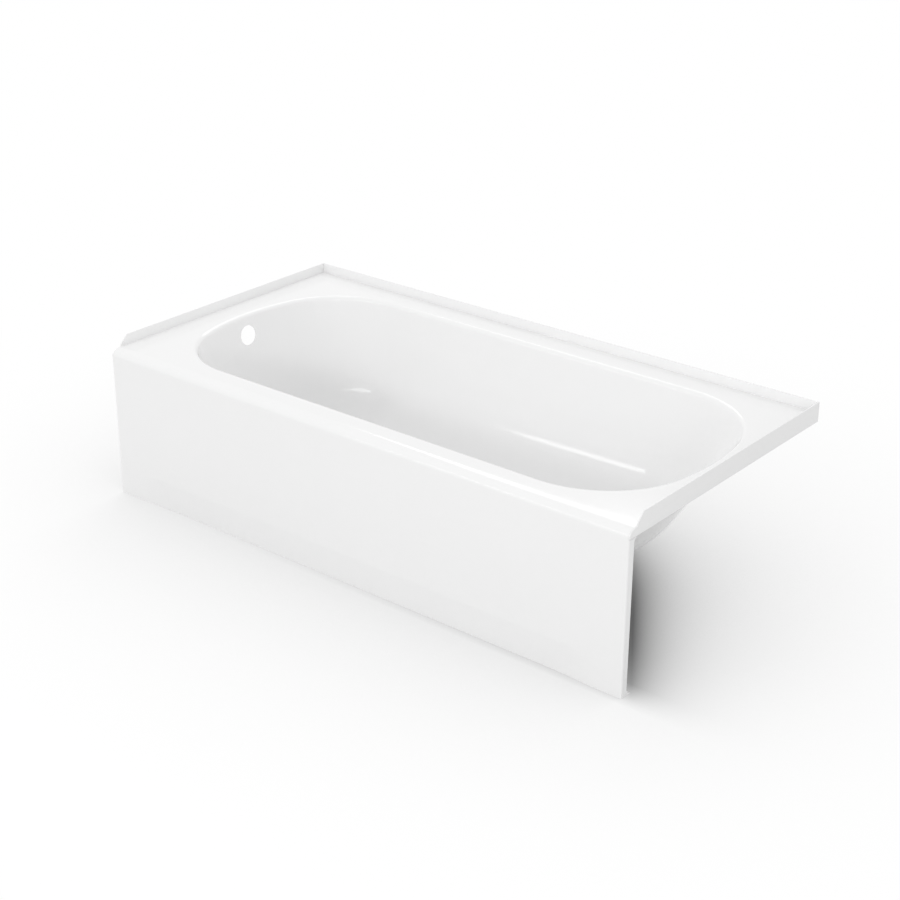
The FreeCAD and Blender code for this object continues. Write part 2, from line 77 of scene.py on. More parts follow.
class Skin:
    """Collects grids and flat caps of points and makes one welded mesh of them."""

    def __init__(self, name: str) -> None:
        """Start an empty skin.

        Args:
            name: the piece's name.
        """
        self.name = name
        self.points: list[np.ndarray] = []
        self.faces: list[list[int]] = []
        self.count = 0

    def _take(self, points: np.ndarray) -> int:
        """Store points.

        Args:
            points: points of any layout, with x, y and z last.

        Returns:
            The number of the first.
        """
        first = self.count
        self.points.append(points.reshape(-1, 3))
        self.count += self.points[-1].shape[0]
        return first

    def grid(self, points: np.ndarray, wrap: bool = False, keep: np.ndarray | None = None) -> None:
        """Add a grid of quads.

        Args:
            points: rows by columns by 3.
            wrap: True if the last column joins the first.
            keep: cells to make, rows - 1 by columns (or columns - 1); all if None.
        """
        rows, columns = points.shape[:2]
        index = self._take(points) + np.arange(rows * columns).reshape(rows, columns)
        near = index if wrap else index[:, :-1]
        far = np.roll(index, -1, axis=1) if wrap else index[:, 1:]
        quads = np.stack([near[:-1], far[:-1], far[1:], near[1:]], axis=-1)
        quads = quads.reshape(-1, 4) if keep is None else quads[keep]
        self.faces.extend(quads.tolist())

    def cap(self, points: np.ndarray) -> None:
        """Add one flat face round a loop of points."""
        first = self._take(points)
        self.faces.append(list(range(first, self.count)))

    def build(self, sharp_angle: float = 30.0) -> bpy.types.Object:
        """Weld the grids into one object that faces outwards.

        Args:
            sharp_angle: degrees between two faces from which their edge stays sharp.

        Returns:
            The object, at the origin, riding on the tub.
        """
        mesh = bpy.data.meshes.new(self.name)
        mesh.from_pydata(np.concatenate(self.points).tolist(), [], self.faces)
        work = bmesh.new()
        work.from_mesh(mesh)
        bmesh.ops.remove_doubles(work, verts=work.verts, dist=WELD_DISTANCE)
        bmesh.ops.recalc_face_normals(work, faces=work.faces)
        work.to_mesh(mesh)
        work.free()
        mesh.shade_smooth()
        mesh.set_sharp_from_angle(angle=math.radians(sharp_angle))
        piece = bpy.data.objects.new(self.name, mesh)
        bpy.context.scene.collection.objects.link(piece)
        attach(piece, BODY)
        return piece


def steps(count: int) -> np.ndarray:
    """Even shares from 0 to 1 in the given number of steps."""
    return np.linspace(0.0, 1.0, count + 1)


def blend(start: np.ndarray, end: np.ndarray, shares: np.ndarray) -> np.ndarray:
    """Rows of points on the straight lines from one curve to another.

    Args:
        start: columns by 3.
        end: columns by 3.
        shares: share of the way for each row.

    Returns:
        Rows by columns by 3: start + share * (end - start).
    """
    return start[None] + shares[:, None, None] * (end - start)[None]


def stack(*coordinates: np.ndarray) -> np.ndarray:
    """Points from their x, y and z, each of a shape that fits the others."""
    return np.stack(np.broadcast_arrays(*coordinates), axis=-1)


# ============================================================================ finishes

class Nodes:
    """Short calls for making the nodes of one material."""

    def __init__(self, name: str, colour: tuple[float, float, float]) -> None:
        """Start a material with a bare shader.

        Args:
            name: the material's name.
            colour: its viewport colour.
        """
        self.material = bpy.data.materials.new(name)
        self.material.use_nodes = True
        self.material.diffuse_color = (*colour, 1.0)
        self.tree = self.material.node_tree
        self.shader = self.tree.nodes["Principled BSDF"]
        self.place = self.tree.nodes.new("ShaderNodeTexCoord").outputs["Object"]

    def link(self, source: bpy.types.NodeSocket, target: bpy.types.NodeSocket) -> None:
        """Join two sockets."""
        self.tree.links.new(source, target)

    def noise(self, scale: float, detail: float = 2.0, roughness: float = 0.5) -> bpy.types.NodeSocket:
        """Noise on the object's own coordinates, as a factor.

        Args:
            scale: cells per metre.
            detail: octaves.
            roughness: strength of each further octave.

        Returns:
            The factor's socket, from 0 to 1.
        """
        node = self.tree.nodes.new("ShaderNodeTexNoise")
        node.inputs["Scale"].default_value = scale
        node.inputs["Detail"].default_value = detail
        node.inputs["Roughness"].default_value = roughness
        self.link(self.place, node.inputs["Vector"])
        return node.outputs["Fac"]

    def cells(self, scale: float, feature: str = "F1") -> bpy.types.NodeSocket:
        """Round cells on the object's own coordinates.

        Args:
            scale: cells per metre.
            feature: which distance of the cell pattern is given.

        Returns:
            The distance's socket.
        """
        node = self.tree.nodes.new("ShaderNodeTexVoronoi")
        node.feature = feature
        node.inputs["Scale"].default_value = scale
        self.link(self.place, node.inputs["Vector"])
        return node.outputs["Distance"]

    def span(self, value: bpy.types.NodeSocket, low: float, high: float) -> bpy.types.NodeSocket:
        """Map a factor from 0..1 to low..high.

        Args:
            value: the factor.
            low: answer at 0.
            high: answer at 1.

        Returns:
            The answer's socket.
        """
        node = self.tree.nodes.new("ShaderNodeMapRange")
        node.inputs["To Min"].default_value = low
        node.inputs["To Max"].default_value = high
        self.link(value, node.inputs["Value"])
        return node.outputs["Result"]

    def maths(
        self,
        operation: str,
        first: bpy.types.NodeSocket | float,
        second: bpy.types.NodeSocket | float | None = None,
    ) -> bpy.types.NodeSocket:
        """Work out one sum.

        Args:
            operation: Blender's name for it.
            first: first socket or number.
            second: second socket or number, where there is one.

        Returns:
            The answer's socket.
        """
        node = self.tree.nodes.new("ShaderNodeMath")
        node.operation = operation
        for entry, value in zip(node.inputs, (first, second)):
            if isinstance(value, bpy.types.NodeSocket):
                self.link(value, entry)
            elif value is not None:
                entry.default_value = value
        return node.outputs[0]

    def along(
        self, start: tuple[float, float, float], way: tuple[float, float, float]
    ) -> bpy.types.NodeSocket:
        """Distance from a point along a way, on the object's own coordinates.

        Args:
            start: the point, in metres.
            way: unit vector.

        Returns:
            The distance's socket.
        """
        away = self.tree.nodes.new("ShaderNodeVectorMath")
        away.operation = "SUBTRACT"
        self.link(self.place, away.inputs[0])
        away.inputs[1].default_value = start
        dot = self.tree.nodes.new("ShaderNodeVectorMath")
        dot.operation = "DOT_PRODUCT"
        self.link(away.outputs["Vector"], dot.inputs[0])
        dot.inputs[1].default_value = way
        return dot.outputs["Value"]

    def colours(
        self,
        value: bpy.types.NodeSocket,
        first: tuple[float, float, float],
        second: tuple[float, float, float],
    ) -> bpy.types.NodeSocket:
        """Mix two colours by a factor.

        Args:
            value: the factor, 0 for the first colour.
            first: colour at 0.
            second: colour at 1.

        Returns:
            The colour's socket.
        """
        node = self.tree.nodes.new("ShaderNodeMix")
        node.data_type = "RGBA"
        self.link(value, node.inputs["Factor"])
        node.inputs["A"].default_value = (*first, 1.0)
        node.inputs["B"].default_value = (*second, 1.0)
        return next(socket for socket in node.outputs if socket.type == "RGBA")

    def bump(self, height: bpy.types.NodeSocket, distance: float, strength: float = 1.0) -> None:
        """Raise the surface by a height map, on top of any earlier bump.

        Args:
            height: factor from 0 to 1.
            distance: metres between 0 and 1.
            strength: share of the effect.
        """
        node = self.tree.nodes.new("ShaderNodeBump")
        node.inputs["Distance"].default_value = distance
        node.inputs["Strength"].default_value = strength
        self.link(height, node.inputs["Height"])
        earlier = self.shader.inputs["Normal"].links
        if earlier:
            self.link(earlier[0].from_socket, node.inputs["Normal"])
        self.link(node.outputs["Normal"], self.shader.inputs["Normal"])


@dataclass(frozen=True)
class Enamel:
    """White glazed enamel: glossy, with the faint long waves that firing leaves."""

    name: str = "white_enamel"
    colour: float = 0.91
    colour_spread: float = 0.006
    roughness: float = 0.10
    roughness_spread: float = 0.02
    wave_length: float = 0.014
    wave_height: float = 4e-6
    cloud_scale: float = 7.0
    gloss_scale: float = 35.0

    def make(self) -> bpy.types.Material:
        """Make the material.

        Returns:
            The material.
        """
        nodes = Nodes(self.name, (self.colour,) * 3)
        low = (self.colour - self.colour_spread,) * 3
        high = (self.colour + self.colour_spread,) * 3
        tint = nodes.colours(nodes.noise(self.cloud_scale, 4.0), low, high)
        nodes.link(tint, nodes.shader.inputs["Base Color"])
        gloss = nodes.span(
            nodes.noise(self.gloss_scale, 3.0),
            self.roughness - self.roughness_spread,
            self.roughness + self.roughness_spread,
        )
        nodes.link(gloss, nodes.shader.inputs["Roughness"])
        nodes.bump(nodes.noise(1.0 / self.wave_length, 1.0), self.wave_height)
        return nodes.material


@dataclass(frozen=True)
class GroundCoat:
    """Satin ground coat on stiffening steel, with the mottling of a single thin coat."""

    name: str = "ground_coat"
    dark: tuple[float, float, float] = (0.60, 0.605, 0.60)
    pale: tuple[float, float, float] = (0.70, 0.70, 0.69)
    mottle_scale: float = 45.0
    gloss_scale: float = 120.0
    smooth: float = 0.32
    rough: float = 0.5
    peel_scale: float = 900.0
    peel_height: float = 25e-6

    def make(self) -> bpy.types.Material:
        """Make the material.

        Returns:
            The material.
        """
        nodes = Nodes(self.name, self.pale)
        tint = nodes.colours(nodes.noise(self.mottle_scale, 5.0, 0.6), self.dark, self.pale)
        nodes.link(tint, nodes.shader.inputs["Base Color"])
        gloss = nodes.span(nodes.noise(self.gloss_scale, 3.0), self.smooth, self.rough)
        nodes.link(gloss, nodes.shader.inputs["Roughness"])
        nodes.bump(nodes.noise(self.peel_scale, 2.0), self.peel_height)
        return nodes.material


@dataclass(frozen=True)
class BeadFoam:
    """Moulded foam of pressed beads, each a low dome with fine grooves round it, coloured darker in the
    grooves as painted shade.
    """

    name: str = "bead_foam"
    bead: float = 0.0042
    white: tuple[float, float, float] = (0.87, 0.87, 0.86)
    # Colour of the grooves between beads: painted shade, darker than the domes.
    groove_shade: tuple[float, float, float] = (0.74, 0.74, 0.73)
    groove_share: float = 0.16
    roughness: float = 0.85
    dome_height: float = 0.00035
    grain_scale: float = 400.0
    grain_height: float = 0.00012

    def make(self) -> bpy.types.Material:
        """Make the material.

        Returns:
            The material.
        """
        nodes = Nodes(self.name, self.white)
        edge = nodes.cells(1.0 / self.bead, "DISTANCE_TO_EDGE")
        rise = nodes.tree.nodes.new("ShaderNodeMapRange")
        rise.inputs["From Max"].default_value = self.groove_share
        nodes.link(edge, rise.inputs["Value"])
        # The darker colour in the grooves between beads is painted shade.
        tint = nodes.colours(rise.outputs["Result"], self.groove_shade, self.white)
        nodes.link(tint, nodes.shader.inputs["Base Color"])
        nodes.shader.inputs["Roughness"].default_value = self.roughness
        nodes.bump(rise.outputs["Result"], self.dome_height)
        nodes.bump(nodes.noise(self.grain_scale, 3.0), self.grain_height)
        return nodes.material


@dataclass(frozen=True)
class DeadeningPad:
    """Grey deadening pad, embossed with a fine grain and slightly blotched."""

    name: str = "deadening_pad"
    dark: tuple[float, float, float] = (0.30, 0.30, 0.30)
    pale: tuple[float, float, float] = (0.40, 0.40, 0.395)
    blotch_scale: float = 28.0
    gloss_scale: float = 200.0
    smooth: float = 0.6
    rough: float = 0.8
    emboss_scale: float = 260.0
    emboss_height: float = 0.0004

    def make(self) -> bpy.types.Material:
        """Make the material.

        Returns:
            The material.
        """
        nodes = Nodes(self.name, self.pale)
        tint = nodes.colours(nodes.noise(self.blotch_scale, 5.0, 0.65), self.dark, self.pale)
        nodes.link(tint, nodes.shader.inputs["Base Color"])
        gloss = nodes.span(nodes.noise(self.gloss_scale, 2.0), self.smooth, self.rough)
        nodes.link(gloss, nodes.shader.inputs["Roughness"])
        nodes.bump(nodes.cells(self.emboss_scale), self.emboss_height)
        return nodes.material


# ============================================================================ the drawn sheet

@dataclass(frozen=True)
class Outline:
    """Row of points round the well, with the outward direction in plan at each."""

    x: np.ndarray
    y: np.ndarray
    z: np.ndarray
    out_x: np.ndarray
    out_y: np.ndarray

    def points(self) -> np.ndarray:
        """Points, with x, y and z last."""
        return stack(self.x, self.y, self.z)


@dataclass(frozen=True)
class Well:
    """The oval well: an outline of straight sides and three-arc ends, at every height."""

    deck: float
    mouth_left: float
    mouth_right: float
    mouth_half: float
    side_draft: float = math.radians(7.0)
    waste_draft: float = math.radians(9.0)
    backrest_slope: float = math.radians(32.0)
    floor_centre: float = 48.0 * MM + 0.017 * 482.0 * MM
    floor_fall: float = 0.017
    side_fillet: float = 195.0 * MM
    waste_fillet: float = 110.0 * MM
    backrest_fillet: float = 230.0 * MM
    corner_waste: float = 0.70
    corner_backrest: float = 0.76
    corner_floor: float = 0.80
    nose_floor: float = math.radians(22.0)
    nose_waste: float = math.radians(16.0)
    nose_backrest: float = math.radians(10.0)
    nose_steps: int = 30
    corner_steps: int = 44
    side_steps: int = 36

    def columns(self) -> int:
        """Number of points round the well."""
        return 2 * (2 * self.nose_steps + 2 * self.corner_steps + self.side_steps)

    def corner_columns(self) -> tuple[int, int, int, int]:
        """Columns in the middle of the four corner arcs: back right, back left, front left, front right."""
        right = self.nose_steps + self.corner_steps // 2
        left = self.columns() // 2 - right
        return right, left, self.columns() - left, self.columns() - right

    def wall(
        self, mouth: float, lean: float, fillet: float, floor: float, grow: float, share: np.ndarray
    ) -> np.ndarray:
        """Distance of a wall from the tub's centre.

        A straight wall leans inwards from the mouth and meets the floor in an arc that touches both:
        centre + sqrt(radius^2 - (centre height - height)^2).

        Args:
            mouth: distance at the deck.
            lean: angle from upright.
            fillet: radius of the arc.
            floor: height of the floor.
            grow: how far the whole is moved outwards through the sheet.
            share: share of the height, 0 at the floor and 1 at the deck.

        Returns:
            The distance for each share.
        """
        floor = floor - grow
        fillet = fillet + grow
        mouth = mouth + grow / math.cos(lean)
        height = floor + share * (self.deck - floor)
        middle = floor + fillet
        straight = mouth - (self.deck - height) * math.tan(lean)
        centre = mouth - (self.deck - middle) * math.tan(lean) - fillet / math.cos(lean)
        curved = centre + np.sqrt(np.maximum(0.0, fillet ** 2 - (middle - height) ** 2))
        return np.where(height >= middle - fillet * math.sin(lean), straight, curved)

    def _end(
        self, tip: np.ndarray, half: np.ndarray, corner: np.ndarray, nose: np.ndarray, turn: np.ndarray
    ) -> tuple[np.ndarray, np.ndarray]:
        """Point of an end's outline whose outward direction makes a given angle with the length.

        Args:
            tip: distance of the end's tip from the tub's centre.
            half: half width of the well.
            corner: radius of the corner arc.
            nose: half angle of the flatter nose arc.
            turn: angle of the outward direction, 0 at the tip and a right angle at the side.

        Returns:
            Distances along the length and across it: an arc's centre plus its radius times the
            cosine and sine of the angle, first on the nose arc and then on the corner arc.
        """
        radius = corner + (half - corner) / np.sin(nose)
        centre = tip - radius
        join = (radius - corner) * np.cos(nose)
        on_nose = np.abs(turn) <= nose + 1e-12
        along = np.where(on_nose, centre + radius * np.cos(turn), centre + join + corner * np.cos(turn))
        across = np.where(on_nose, radius * np.sin(turn), half - corner + corner * np.sin(turn))
        return along, across

    def _sizes(self, share: np.ndarray, grow: float) -> tuple[np.ndarray, ...]:
        """Sizes of the outline at a share of the height.

        Args:
            share: share of the height.
            grow: how far the surface is moved outwards through the sheet.

        Returns:
            Left and right reach, half width, corner radii and nose angles.
        """
        floor = self.floor_centre
        half = self.wall(self.mouth_half, self.side_draft, self.side_fillet, floor, grow, share)
        left = self.wall(
            self.mouth_left, self.waste_draft, self.waste_fillet,
            floor - self.floor_fall * self.mouth_left, grow, share,
        )
        right = self.wall(
            self.mouth_right, self.backrest_slope, self.backrest_fillet,
            floor + self.floor_fall * self.mouth_right, grow, share,
        )
        corner_left = half * (self.corner_floor + share * (self.corner_waste - self.corner_floor))
        corner_right = half * (self.corner_floor + share * (self.corner_backrest - self.corner_floor))
        nose_left = self.nose_floor + share * (self.nose_waste - self.nose_floor)
        nose_right = self.nose_floor + share * (self.nose_backrest - self.nose_floor)
        return left, right, half, corner_left, corner_right, nose_left, nose_right

    def _height(self, x: np.ndarray, share: np.ndarray, grow: float) -> tuple[np.ndarray, np.ndarray]:
        """Turn the flat outline to the slope of the floor, less and less towards the deck.

        Args:
            x: places along the tub.
            share: share of the height.
            grow: how far the surface is moved outwards through the sheet.

        Returns:
            The turned places along the tub, and the heights.
        """
        tilt = np.arctan(self.floor_fall * (1.0 - share))
        level = share * self.deck + (1.0 - share) * (self.floor_centre - grow)
        return x * np.cos(tilt), level + x * np.sin(tilt)

    def outline(self, share: np.ndarray, grow: float) -> Outline:
        """Outline round the whole well, from the backrest's tip over the back to the waste end and on.

        Args:
            share: share of the height; rows by 1, or rows by columns.
            grow: how far the surface is moved outwards through the sheet.

        Returns:
            Rows by columns of points.
        """
        total = self.columns()
        share = np.broadcast_to(share, (share.shape[0], total))
        half_count = total // 2 + 1
        back = share[:, :half_count]
        front = share[:, half_count - 1:]
        front = np.concatenate([front, share[:, :1]], axis=1)[:, ::-1]
        b = self._half(back, grow)
        f = self._half(front, grow)
        joined = [np.concatenate([bb, ff[:, ::-1][:, 1:-1]], axis=1) for bb, ff in zip(b, f)]
        x, y, out_x, out_y = joined
        sign = np.ones(total)
        sign[half_count:] = -1.0
        x, z = self._height(x, share, grow)
        return Outline(x, y * sign, z, out_x, out_y * sign)

    def _half(self, share: np.ndarray, grow: float) -> tuple[np.ndarray, ...]:
        """Half outline with y >= 0, from the backrest's tip to the waste end's tip.

        Args:
            share: share of the height, rows by the half outline's columns.
            grow: how far the surface is moved outwards through the sheet.

        Returns:
            The points' x and y, and the outward direction's x and y.
        """
        left, right, half, corner_left, corner_right, nose_left, nose_right = self._sizes(share, grow)
        n, c, s = self.nose_steps, self.corner_steps, self.side_steps
        turns = steps(n), steps(c)[1:]
        first = slice(0, n + c + 1)
        last = slice(n + c + s, 2 * n + 2 * c + s + 1)

        def end_turn(nose: np.ndarray) -> np.ndarray:
            """Angles round an end: evenly over the nose arc, then evenly over the corner arc."""
            on_nose = nose[:, :n + 1] * turns[0]
            on_corner = nose[:, n + 1:] + (math.pi / 2 - nose[:, n + 1:]) * turns[1]
            return np.concatenate([on_nose, on_corner], axis=1)

        turn_r = end_turn(nose_right[:, first])
        x_r, y_r = self._end(
            right[:, first], half[:, first], corner_right[:, first], nose_right[:, first], turn_r
        )
        flipped = [value[:, last][:, ::-1] for value in (left, half, corner_left, nose_left)]
        turn_l = end_turn(flipped[3])
        x_l, y_l = self._end(flipped[0], flipped[1], flipped[2], flipped[3], turn_l)
        run = steps(s)[1:-1]
        middle = slice(n + c + 1, n + c + s)
        right_side = self._end(
            right[:, middle], half[:, middle], corner_right[:, middle], nose_right[:, middle],
            np.full_like(right[:, middle], math.pi / 2),
        )[0]
        left_side = self._end(
            left[:, middle], half[:, middle], corner_left[:, middle], nose_left[:, middle],
            np.full_like(left[:, middle], math.pi / 2),
        )[0]
        x_s = right_side + (-left_side - right_side) * run
        x = np.concatenate([x_r, x_s, -x_l[:, ::-1]], axis=1)
        y = np.concatenate([y_r, half[:, middle], y_l[:, ::-1]], axis=1)
        out_x = np.concatenate([np.cos(turn_r), np.zeros_like(x_s), -np.cos(turn_l[:, ::-1])], axis=1)
        out_y = np.concatenate([np.sin(turn_r), np.ones_like(x_s), np.sin(turn_l[:, ::-1])], axis=1)
        return x, y, out_x, out_y

    def waste_nose(self, share: np.ndarray, swing: np.ndarray, grow: float) -> np.ndarray:
        """Point on the nose arc of the waste end.

        Args:
            share: share of the height.
            swing: angle on the arc, from - nose angle to + nose angle.
            grow: how far the surface is moved outwards through the sheet.

        Returns:
            Points: the arc's centre plus its radius times minus cosine and sine of the swing.
        """
        left, _, half, corner, _, nose, _ = self._sizes(share, grow)
        radius = corner + (half - corner) / np.sin(nose)
        x, z = self._height(-(left - radius + radius * np.cos(swing)), share, grow)
        return stack(x, radius * np.sin(swing), z)

    def nose_radius(self, share: np.ndarray, grow: float) -> np.ndarray:
        """Radius of the waste end's nose arc."""
        _, _, half, corner, _, nose, _ = self._sizes(share, grow)
        return corner + (half - corner) / np.sin(nose)


class Side(Enum):
    """The two faces of the sheet."""

    SHOWN = "shown"
    HIDDEN = "hidden"


@dataclass
class BathShell:
    """Rim, soft front shoulder, turned-down lips and well, all one drawn sheet of even thickness."""

    sheet: float = 2.0 * MM
    waste_end_deck: float = 75.0 * MM
    backrest_deck: float = 38.0 * MM
    side_deck_back: float = 76.0 * MM
    roll: float = 12.0 * MM
    soft: float = 43.0 * MM
    tight: float = 12.0 * MM
    shoulder: float = math.radians(35.5)
    overflow_radius: float = 26.0 * MM
    overflow_below: float = 54.0 * MM
    waste_radius: float = 25.4 * MM
    dish_radius: float = 44.0 * MM
    dish_depth: float = 3.0 * MM
    dish_margin: float = 4.0 * MM
    waste_x: float = -482.0 * MM
    ease: float = 0.7 * MM
    lip_drop: float = 23.0 * MM
    lean_probe: float = 0.004
    fillet_turn: float = math.radians(83.0)
    block_below: float = 38.0 * MM
    block_above: float = 32.5 * MM
    block_columns: int = 9
    wall_tries: int = 12
    patch_rows: int = 5
    patch_bunching: float = 1.3
    dish_run: float = 4.0 * MM
    fillet_rows: int = 26
    wall_rows: int = 36
    roll_rows: int = 12
    name: str = "bath_shell_skin"
    low: Vector = field(default_factory=lambda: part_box("bath_shell")[0])
    high: Vector = field(default_factory=lambda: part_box("bath_shell")[1])

    def __post_init__(self) -> None:
        """Take the rim's reach from the frame and set up the well."""
        self.end = self.high.x
        self.back = self.high.y
        self.front = self.low.y
        self.deck = self.high.z
        self.seam = self.deck - self.lip_drop
        self.well = Well(
            deck=self.deck,
            mouth_left=self.end - self.waste_end_deck,
            mouth_right=self.end - self.backrest_deck,
            mouth_half=self.back - self.side_deck_back,
        )
        angle = self.shoulder
        self.soft_centre = (
            self.front + self.soft * math.sin(angle) + self.tight * (1.0 - math.sin(angle)),
            self.deck - self.soft,
        )
        reach = self.soft - self.tight
        self.tight_centre = (
            self.soft_centre[0] - reach * math.sin(angle),
            self.soft_centre[1] + reach * math.cos(angle),
        )

    # ------------------------------------------------------------------ profiles

    def shoulder_profile(self, inset: float) -> np.ndarray:
        """The shoulder's (y, z) from the deck to the lip's lower edge.

        Two arcs that touch: centre + (radius - inset) * (cosine, sine), then a straight drop.

        Args:
            inset: depth below the shown face.

        Returns:
            Rows by 2.
        """
        soft = math.pi / 2 + self.shoulder * steps(16)
        tight = math.pi / 2 + self.shoulder + (math.pi / 2 - self.shoulder) * steps(10)[1:]
        y = [self.soft_centre[0] + (self.soft - inset) * np.cos(soft)]
        z = [self.soft_centre[1] + (self.soft - inset) * np.sin(soft)]
        y.append(self.tight_centre[0] + (self.tight - inset) * np.cos(tight))
        z.append(self.tight_centre[1] + (self.tight - inset) * np.sin(tight))
        foot = self.front + inset
        y.append(np.array([foot]))
        z.append(np.array([self.seam]))
        return np.stack([np.concatenate(y), np.concatenate(z)], axis=1)

    def _rows(self, inset: float) -> tuple[np.ndarray, np.ndarray, Outline]:
        """Rows of the wall, from the floor up to where the rolled rim begins.

        The lean is the angle from upright at which the wall's surface reaches the deck.

        Args:
            inset: depth below the shown face.

        Returns:
            Shares of the rows' heights, the lean for each column, and the outline at the deck.
        """
        well = self.well
        rim = well.outline(np.ones((1, 1)), inset)
        below = well.outline(np.full((1, 1), 1.0 - self.lean_probe), inset)
        run = (rim.x - below.x) * rim.out_x + (rim.y - below.y) * rim.out_y
        lean = np.arctan2(run, rim.z - below.z)[0]
        depth = self.deck - well.floor_centre + inset
        fillet = well.side_fillet + inset
        low = fillet * (1.0 - np.cos(self.fillet_turn * steps(self.fillet_rows))) / depth
        touch = self.deck - self.roll + (self.roll - inset) * np.sin(lean)
        floor = well.floor_centre - inset + well.floor_fall * rim.x[0]
        top = (touch - floor) / (self.deck - floor)
        upper = low[-1] + (top[None] - low[-1]) * steps(self.wall_rows)[1:, None]
        lower = np.broadcast_to(low[:, None], (low.size, well.columns()))
        return np.concatenate([lower, upper], axis=0), lean, rim

    def _roll(self, inset: float, lean: np.ndarray, rim: Outline, foot: np.ndarray) -> np.ndarray:
        """Rolled rim: an arc from the wall to the deck, in the plane square to the mouth.

        Its centre lies a radius below the deck and a radius behind the wall. The small rest that
        is left at the wall fades out towards the deck.

        Args:
            inset: depth below the shown face.
            lean: angle of the wall from upright, for each column.
            rim: outline at the deck, where deck and wall would meet.
            foot: the wall's top points, where the arc starts.

        Returns:
            Rows by columns by 3, without the row of the wall itself.
        """
        centre = (self.roll * (1.0 - np.sin(lean)) - inset) / np.cos(lean)
        angle = math.pi - lean[None] - (math.pi / 2 - lean[None]) * steps(self.roll_rows)[:, None]
        radius = self.roll - inset
        out = centre + radius * np.cos(angle)
        up = self.deck - self.roll + radius * np.sin(angle)
        points = stack(rim.x[0] + rim.out_x[0] * out, rim.y[0] + rim.out_y[0] * out, up)
        rest = foot[None] - points[:1]
        fade = (1.0 - steps(self.roll_rows)) ** 2
        points = points + rest * fade[:, None, None]
        points[..., 2] = np.minimum(points[..., 2], self.deck - inset)
        return points[1:]

    def _frame_edge(self, inner: np.ndarray, inset: float) -> np.ndarray:
        """Rim's outer edge for each column, with the four corners on the corner columns.

        Args:
            inner: the roll's top points in plan.
            inset: depth below the shown face.

        Returns:
            Columns by 3, spread between the corners as the inner points are.
        """
        corners = self.well.corner_columns()
        end = self.end - inset
        spots = np.array([
            (end, self.back - inset), (-end, self.back - inset),
            (-end, self.soft_centre[0]), (end, self.soft_centre[0]),
        ])
        rolled = np.roll(inner, -corners[0], axis=0)
        gaps = np.linalg.norm(np.diff(np.vstack([rolled, rolled[:1]]), axis=0), axis=1)
        along = np.concatenate([[0.0], np.cumsum(gaps)])
        marks = [along[(corner - corners[0]) % inner.shape[0]] for corner in corners] + [along[-1]]
        loop = np.vstack([spots, spots[:1]])
        x = np.interp(along[:-1], marks, loop[:, 0])
        y = np.interp(along[:-1], marks, loop[:, 1])
        edge = stack(x, y, np.full_like(x, self.deck - inset))
        return np.roll(edge, corners[0], axis=0)

    # ------------------------------------------------------------------ overflow and waste

    def _overflow_axis(self) -> tuple[np.ndarray, np.ndarray]:
        """Place of the overflow hole.

        Returns:
            A point on its axis at the wall, and the axis towards the well.
        """
        lean = self.well.waste_draft
        x = -self.well.mouth_left + self.overflow_below * math.tan(lean)
        centre = np.array([x, 0.0, self.deck - self.overflow_below])
        return centre, np.array([math.cos(lean), 0.0, math.sin(lean)])

    def _on_wall(self, turn: np.ndarray, radius: float, inset: float) -> tuple[np.ndarray, np.ndarray]:
        """Share and swing of the wall's points that lie on a cylinder round the overflow's axis.

        Found by repeated correction: the height is moved until the distance from the axis is right.

        Args:
            turn: angle round the axis, 0 upwards.
            radius: the cylinder's radius.
            inset: depth below the shown face.

        Returns:
            The share of the height and the swing on the nose arc.
        """
        centre, axis = self._overflow_axis()
        upward = np.array([-axis[2], 0.0, axis[0]])
        share = np.full_like(turn, 0.8)
        scale = (self.deck - self.well.floor_centre) / axis[0]
        swing = np.zeros_like(turn)
        for _ in range(self.wall_tries):
            nose_radius = self.well.nose_radius(share, inset)
            swing = np.arcsin(radius * np.sin(turn) / nose_radius)
            point = self.well.waste_nose(share, swing, inset)
            height = (point - centre) @ upward
            share = share + (radius * np.cos(turn) - height) / scale
        return share, swing

    def _overflow(
        self, skin: Skin, shares: np.ndarray, wall: np.ndarray, inset: float, turn: np.ndarray | None
    ) -> tuple[np.ndarray, np.ndarray, np.ndarray]:
        """Patch of wall from a square block of cells to the round overflow hole.

        Args:
            skin: the mesh that takes the patch.
            shares: shares of the wall's rows.
            wall: the wall's points.
            inset: depth below the shown face.
            turn: angles of the hole's points, or None to take those of the block's edge.

        Returns:
            Cells of the wall to keep, the hole's points, and their angles.
        """
        centre, axis = self._overflow_axis()
        middle = self.well.columns() // 2
        heights = wall[:, middle, 2]
        low = int(np.argmin(np.abs(heights - (centre[2] - self.block_below))))
        high = int(np.argmin(np.abs(heights - (centre[2] + self.block_above))))
        left, right = middle - self.block_columns, middle + self.block_columns
        keep = np.ones((wall.shape[0] - 1, wall.shape[1]), bool)
        keep[low:high, left:right] = False
        rows = np.concatenate([
            np.full(right - left, low), np.arange(low, high),
            np.full(right - left, high), np.arange(high, low, -1),
        ])
        columns = np.concatenate([
            np.arange(left, right), np.full(high - low, right),
            np.arange(right, left, -1), np.full(high - low, left),
        ])
        edge_share = shares[rows, columns]
        swing_unit = (middle - columns) / self.well.nose_steps
        nose = self.well.nose_floor + edge_share * (self.well.nose_waste - self.well.nose_floor)
        edge_swing = swing_unit * nose
        edge = self.well.waste_nose(edge_share, edge_swing, inset)
        upward = np.array([-axis[2], 0.0, axis[0]])
        if turn is None:
            turn = np.arctan2(edge[:, 1], (edge - centre) @ upward)
        radius = self.overflow_radius + (self.ease if inset == 0.0 else 0.0)
        hole_share, hole_swing = self._on_wall(turn, radius, inset)
        fade = steps(self.patch_rows)[:, None] ** self.patch_bunching
        grid_share = hole_share + fade * (edge_share - hole_share)
        grid_swing = hole_swing + fade * (edge_swing - hole_swing)
        patch = self.well.waste_nose(grid_share, grid_swing, inset)
        patch[-1] = wall[rows, columns]
        skin.grid(patch, wrap=True)
        return keep, patch[0], turn

